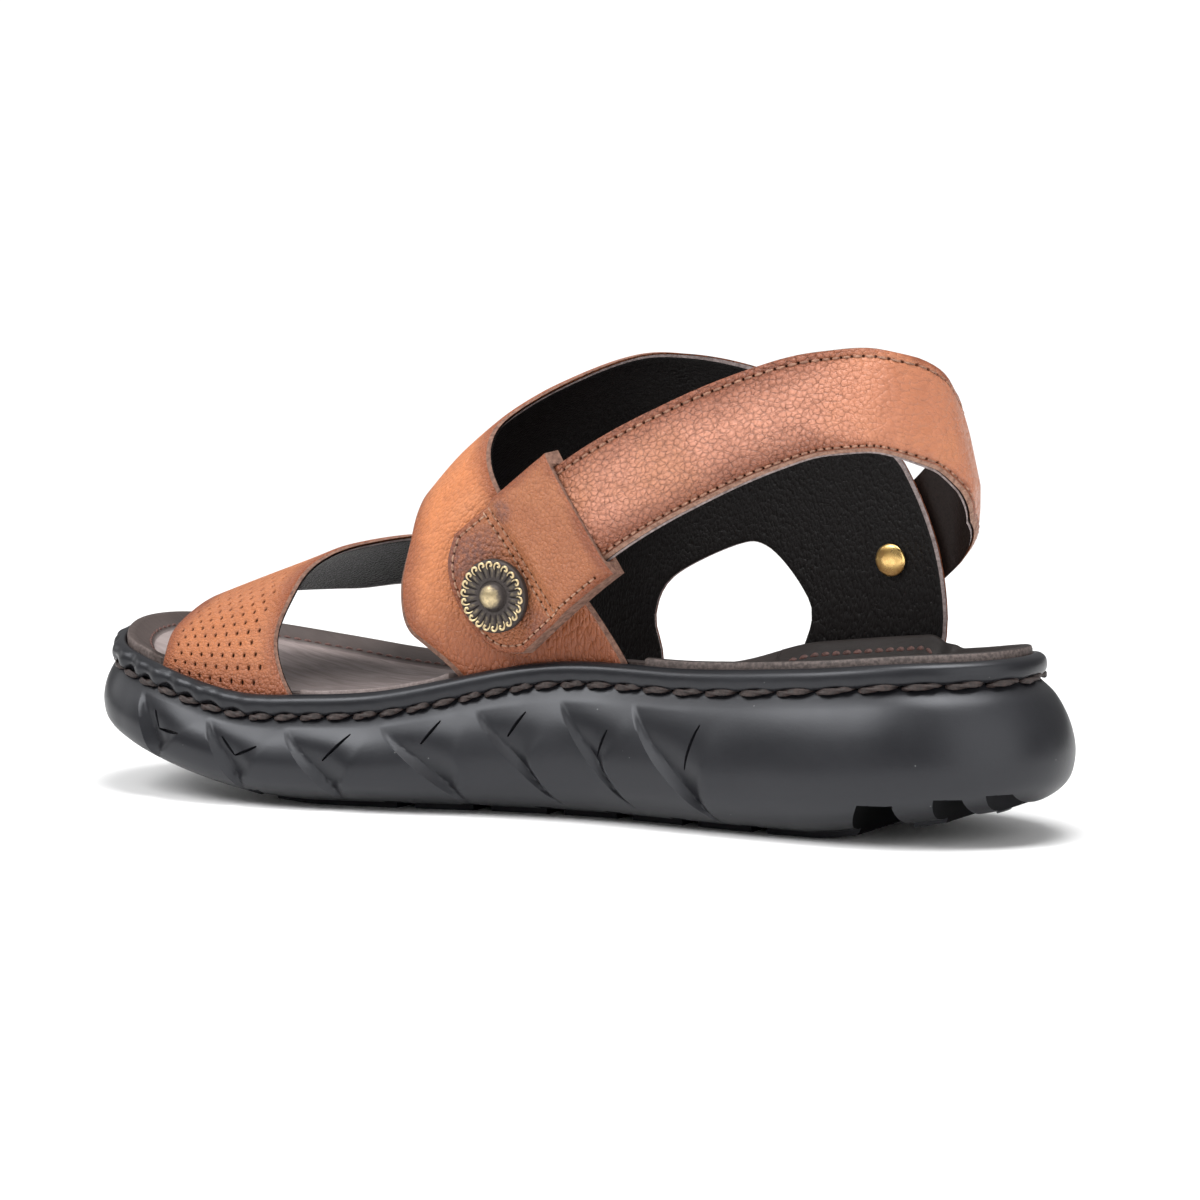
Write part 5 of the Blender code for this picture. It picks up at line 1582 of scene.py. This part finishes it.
for number, needles in enumerate(sleeve_needles):
    row = sewn_row("sleeve_thread_%d" % (number + 1), needles, over_sleeve, SLEEVE_THREAD_RADIUS, SLEEVE_THREAD_RISE)
    row.data.materials.append(pale_thread)
    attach(row, "root")

# Studs
# Cast caps of antique brass: a dark side wall, petals that radiate from a smooth ring, a worn dome in the middle
# and a border of scrolls, rubbed bright. Each post goes through the leather to a rivet on the inside.
STUD_COLUMNS = "radius height petal worn"
STUD_CAP = table(STUD_COLUMNS,
    (2.0, 0.0, 0.0, 0.0), (9.4, 0.0, 0.0, 0.0), (9.9, 0.2, 0.0, 0.0), (10.2, 0.8, 0.0, 0.0), (10.2, 2.0, 0.0, 0.0),
    (10.05, 2.5, 0.0, 0.1), (9.7, 2.8, 0.1, 0.2), (9.2, 2.85, 0.4, 0.1), (8.4, 2.65, 0.8, 0.0), (7.4, 2.45, 1.0, 0.0),
    (6.2, 2.35, 1.0, 0.0), (5.4, 2.35, 0.7, 0.0), (5.0, 2.45, 0.2, 0.1), (4.7, 2.6, 0.0, 0.15), (4.35, 2.6, 0.0, 0.1),
    (4.1, 2.45, 0.0, 0.0), (3.95, 2.6, 0.0, 0.0), (3.8, 3.3, 0.0, 0.1), (3.4, 4.0, 0.0, 0.3), (2.8, 4.55, 0.0, 0.5),
    (2.0, 4.95, 0.0, 0.65), (1.0, 5.2, 0.0, 0.75), (0.0, 5.3, 0.0, 0.75))
STUD_SEAT = 0.4
STACK_LIMIT = 20.0
STACK_STEP = 0.02
STUD_REACH = 10.2
STUD_FROM_SLEEVE_FRONT = 13.5
STUD_BELOW_MIDDLE = 2.5
STUD_FROM_STRAP_END = 12.0
PETALS = 22
PETAL_COLUMNS = 10
PETAL_RISE = 0.7
PETAL_POWER = 0.7
PETAL_SINK = 0.2
PETAL_WORN = 0.4
RIM_TURNS = np.arange(0, 6.2, 0.39)
SCROLL = table("x out aside height radius",
    (0, 7.5, 0.3, 2.75, 0.10), (1, 8.2, 0.4, 2.9, 0.18), (2, 8.95, 0.2, 3.05, 0.28), (3, 9.45, -0.35, 3.1, 0.34),
    (4, 9.4, -1.0, 3.1, 0.35), (5, 8.95, -1.35, 3.05, 0.34), (6, 8.45, -1.15, 3.0, 0.32), (7, 8.45, -0.65, 2.95, 0.28))
SCROLL_STEPS = 25
SCROLL_COLUMNS = 8
SCROLL_FLATTENED = 0.9


def spokes_about(axis):
    """Two spokes square to an axis, and the axis."""
    spoke = unit(np.cross((0.0, 0.0, 1.0), axis))
    return np.array((spoke, np.cross(axis, spoke), axis))


def turned_ring(seat, spokes, turn, radius, height):
    """A ring about an axis, at a height over its seat."""
    return seat + np.stack((radius * np.cos(turn), radius * np.sin(turn), height + 0.0 * turn), axis=-1) @ spokes


def inner_wall(x, height, side):
    """How far from the middle the inside of the upper lies at one spot."""
    return upper_side(np.array([x]), np.array([height]), np.array([side]), 0.0)[0]


def stud_frame(along, across, depth):
    """Seat of a stud on the leather's face, and its axis with two spokes square to it."""
    def face(x, y):
        return strap_place(np.array([x]), np.array([y]), np.array([depth]))[0]

    seat = face(along, across)
    forward = face(along + STUD_REACH, across) - face(along - STUD_REACH, across)
    upward = face(along, across + STUD_REACH) - face(along, across - STUD_REACH)
    axis = unit(np.cross(upward, forward))
    axis = axis * np.sign(seat[1]) * np.sign(axis[1])
    rims = [face(along + STUD_REACH * math.cos(t), across + STUD_REACH * math.sin(t)) for t in RIM_TURNS]
    seat = seat + axis * max(0.0, max(np.dot(rim - seat, axis) for rim in rims))
    return seat, spokes_about(axis)


def stud_cap(name, seat, spokes, stack):
    """A cap with its petals and its border of scrolls, and the post below it."""
    turn = ring_angles(PETALS * PETAL_COLUMNS)
    petal = PETAL_RISE * np.abs(np.sin(turn * PETALS / 2)) ** PETAL_POWER
    rows = table(STUD_COLUMNS, (0.0, -stack, 0.0, 0.0), (STUD_CAP[0].radius, -stack, 0.0, 0.0)) + STUD_CAP
    rings = [turned_ring(seat, spokes, turn, row.radius, row.height + row.petal * petal - row.petal * PETAL_SINK)
             for row in rows]
    cap = laid_grid(name, np.array(rings))
    across = np.array([tuple(vertex.co) for vertex in cap.data.vertices]) / MM - SHOE_MIDDLE - seat
    radius = np.linalg.norm(across @ spokes[:2].T, axis=1)
    inwards = STUD_CAP[:0:-1]
    petals, worn = (np.interp(radius, [row.radius for row in inwards], [getattr(row, column) for row in inwards])
                    for column in ("petal", "worn"))
    angle = np.arctan2(across @ spokes[1], across @ spokes[0])
    carry(cap, "worn", worn + PETAL_WORN * petals * np.abs(np.sin(angle * PETALS / 2)))
    fine = np.linspace(0, len(SCROLL) - 1, SCROLL_STEPS)
    r, t, h, w = (curve(SCROLL, column, fine) for column in ("out", "aside", "height", "radius"))
    around = ring_angles(SCROLL_COLUMNS)
    scrolls = [cap]
    for k in range(PETALS):
        angle = 2 * math.pi * k / PETALS + t / np.maximum(r, 1.0)
        line = np.stack((r * np.cos(angle), r * np.sin(angle), h), axis=-1)
        side = unit(np.cross(unit(np.gradient(line, axis=0)), (0.0, 0.0, 1.0)))
        tube = [np.repeat(line[:1], len(around), axis=0)]
        for spot, out, size in zip(line, side, w):
            ring = np.cos(around)[:, None] * out + np.sin(around)[:, None] * np.array((0.0, 0.0, SCROLL_FLATTENED))
            tube.append(spot + size * ring)
        tube.append(np.repeat(line[-1:], len(around), axis=0))
        scroll = laid_grid("scroll", seat + np.array(tube) @ spokes)
        carry(scroll, "worn", np.full(len(scroll.data.vertices), 1.0))
        scrolls.append(scroll)
    return close_up(joined(name, scrolls), 50)


def antique_brass_material():
    """Cast brass, darkened in its hollows and rubbed bright on what stands out."""
    material, tree, shader = new_material("antique_brass")
    cast = noise(tree, on_piece(tree), 900.0, 5.0, 0.65)
    rubbed = maths(tree, "ADD", painted(tree, "worn"), maths(tree, "MULTIPLY_ADD", cast, 0.7, -0.35))
    bright = ranged(tree, rubbed, 0.25, 0.95)
    tint = mixed(tree, bright, (0.050, 0.041, 0.038, 1), (0.60, 0.48, 0.28, 1))
    feed(tree, shader, Base_Color=tint, Roughness=ranged(tree, bright, 0.0, 1.0, 0.55, 0.34),
         Metallic=ranged(tree, bright, 0.0, 1.0, 0.6, 1.0))
    bumped(tree, shader, cast, 0.2, 0.0003)
    return material


def leather_stack(seat, axis):
    """Depth of leather from a stud's seat down its axis to the inside of the upper."""
    side = np.sign(seat[1])
    for depth in np.arange(0.0, STACK_LIMIT, STACK_STEP):
        spot = seat - axis * depth
        if side * spot[1] < inner_wall(spot[0], spot[2], side):
            break
    return depth


antique_brass = antique_brass_material()
STUD_SEATS = {
    "medial": stud_frame(STRAP_LENGTH - STUD_FROM_SLEEVE_FRONT, -STUD_BELOW_MIDDLE, SLEEVE_FRONT_THICKNESS),
    "lateral": stud_frame(STUD_FROM_STRAP_END, 0.0, STRAP_THICKNESS),
}
for where, (seat, spokes) in STUD_SEATS.items():
    stack = leather_stack(seat, spokes[2])
    stud = stud_cap("stud_cap_" + where, seat + spokes[2] * STUD_SEAT, spokes, stack + STUD_SEAT)
    stud.data.materials.append(antique_brass)
    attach(stud, "root")
    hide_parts("stud_" + where)

# Rivets
# The backs of the studs: low polished brass domes pressed flat against the lining.
RIVET_BACK = [(4.3, -0.45), (4.6, -0.6), (4.6, -0.85), (4.4, -1.15), (3.8, -1.45), (2.9, -1.72), (1.6, -1.92),
              (0.0, -2.0)]
RIVET_COLUMNS = 64


def rivet_axis(spot):
    """The direction in which the inside of the upper faces at a spot."""
    x, y, z = spot
    side = np.sign(y)
    slope_x = inner_wall(x + 1, z, side) - inner_wall(x - 1, z, side)
    slope_z = inner_wall(x, z + 1, side) - inner_wall(x, z - 1, side)
    return unit(np.array((-slope_x / 2, side, -slope_z / 2)))


def rivet_dome(name, spot, axis):
    """A low dome turned about its axis."""
    turn = ring_angles(RIVET_COLUMNS)
    rings = [turned_ring(spot, spokes_about(axis), turn, radius, height)
             for radius, height in [(0.0, RIVET_BACK[0][1])] + RIVET_BACK]
    return close_up(laid_grid(name, np.array(rings)), 50)


def polished_brass_material():
    """Bright brass with a little tarnish."""
    material, tree, shader = new_material("polished_brass")
    tarnish = noise(tree, on_piece(tree), 350.0, 5.0, 0.6)
    tint = mixed(tree, ranged(tree, tarnish, 0.4, 0.75), (0.78, 0.52, 0.20, 1), (0.55, 0.33, 0.11, 1))
    feed(tree, shader, Base_Color=tint, Roughness=ranged(tree, tarnish, 0.3, 0.8, 0.24, 0.36), Metallic=1.0)
    return material


polished_brass = polished_brass_material()
for where, (seat, spokes) in STUD_SEATS.items():
    spot = seat - spokes[2] * leather_stack(seat, spokes[2])
    rivet = rivet_dome("rivet_dome_" + where, spot, rivet_axis(spot))
    rivet.data.materials.append(polished_brass)
    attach(rivet, "root")
    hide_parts("rivet_" + where)

# Floor, light and camera
# A white paper floor under soft boxes, seen from behind on the medial side with a long lens.
floor = added(bpy.ops.mesh.primitive_circle_add, vertices=96, radius=0.75, fill_type="NGON", location=(0.0, 0.0, 0.0))
floor.name = "paper_floor"
paper, paper_tree, paper_shader = new_material("white_paper")
feed(paper_tree, paper_shader, Base_Color=(0.90, 0.90, 0.90, 1), Roughness=0.55)
floor.data.materials.append(paper)

HORIZON_LIGHT = 0.20
OVERHEAD_LIGHT = 0.50
BACKDROP_LIGHT = 1.1
world = bpy.data.worlds.new("white_room")
bpy.context.scene.world = world
world.use_nodes = True
room = world.node_tree
way = put(room, "ShaderNodeTexCoord").outputs["Generated"]
rise = put(room, "ShaderNodeSeparateXYZ", Vector=way).outputs["Z"]
overhead = ranged(room, rise, 0.0, 0.75, HORIZON_LIGHT, OVERHEAD_LIGHT)
backdrop = ranged(room, rise, 0.0, -0.002, 0.0, BACKDROP_LIGHT)
feed(room, room.nodes["Background"], Color=(1.0, 1.0, 1.0, 1.0), Strength=maths(room, "MAXIMUM", overhead, backdrop))

SOFT_BOXES = table("name place aim size power",
    ("top_box", (-0.25, 0.12, 1.4), (0.0, 0.0, 0.05), 0.8, 21.0),
    ("key_box", (0.50, 0.90, 1.05), (0.0, 0.0, 0.05), 0.7, 15.5),
    ("toe_box", (1.4, 0.25, 0.6), (0.05, 0.0, 0.06), 0.8, 3.5),
    ("heel_box", (-1.25, 0.6, 0.42), (-0.05, 0.0, 0.04), 1.4, 11.0))
for box in SOFT_BOXES:
    bpy.ops.object.light_add(type="AREA", location=box.place)
    lamp = bpy.context.object
    lamp.name = box.name
    lamp.data.size = box.size
    lamp.data.energy = box.power
    lamp.rotation_euler = (Vector(box.aim) - Vector(box.place)).to_track_quat("-Z", "Y").to_euler()

VIEW_TURN = math.radians(28.78)
VIEW_RISE = math.radians(8.8)
VIEW_DISTANCE = 1601.65
PIXELS_PER_MM = 3.57
FRAME_PIXELS = 1200
SENSOR_WIDTH = 36.0
ORIGIN_PIXEL = (581.46, 802.74)
back = Vector((-math.sin(VIEW_TURN) * math.cos(VIEW_RISE), math.cos(VIEW_TURN) * math.cos(VIEW_RISE),
               math.sin(VIEW_RISE)))
eye = (back * VIEW_DISTANCE + Vector(SHOE_MIDDLE)) * MM
focal_pixels = PIXELS_PER_MM * VIEW_DISTANCE
right = (-back).cross(Vector((0, 0, 1))).normalized()
up = right.cross(-back)
aside = (ORIGIN_PIXEL[0] - FRAME_PIXELS / 2) / focal_pixels
below = (ORIGIN_PIXEL[1] - FRAME_PIXELS / 2) / focal_pixels
aim = -back - aside * right + below * up
bpy.ops.object.camera_add(location=eye)
camera = bpy.context.object
camera.name = "long_lens"
camera.rotation_euler = aim.to_track_quat("-Z", "Y").to_euler()
camera.data.sensor_width = SENSOR_WIDTH
camera.data.lens = focal_pixels / FRAME_PIXELS * SENSOR_WIDTH
camera.data.clip_end = 50.0
bpy.context.scene.camera = camera
bpy.context.scene.view_settings.view_transform = "Standard"
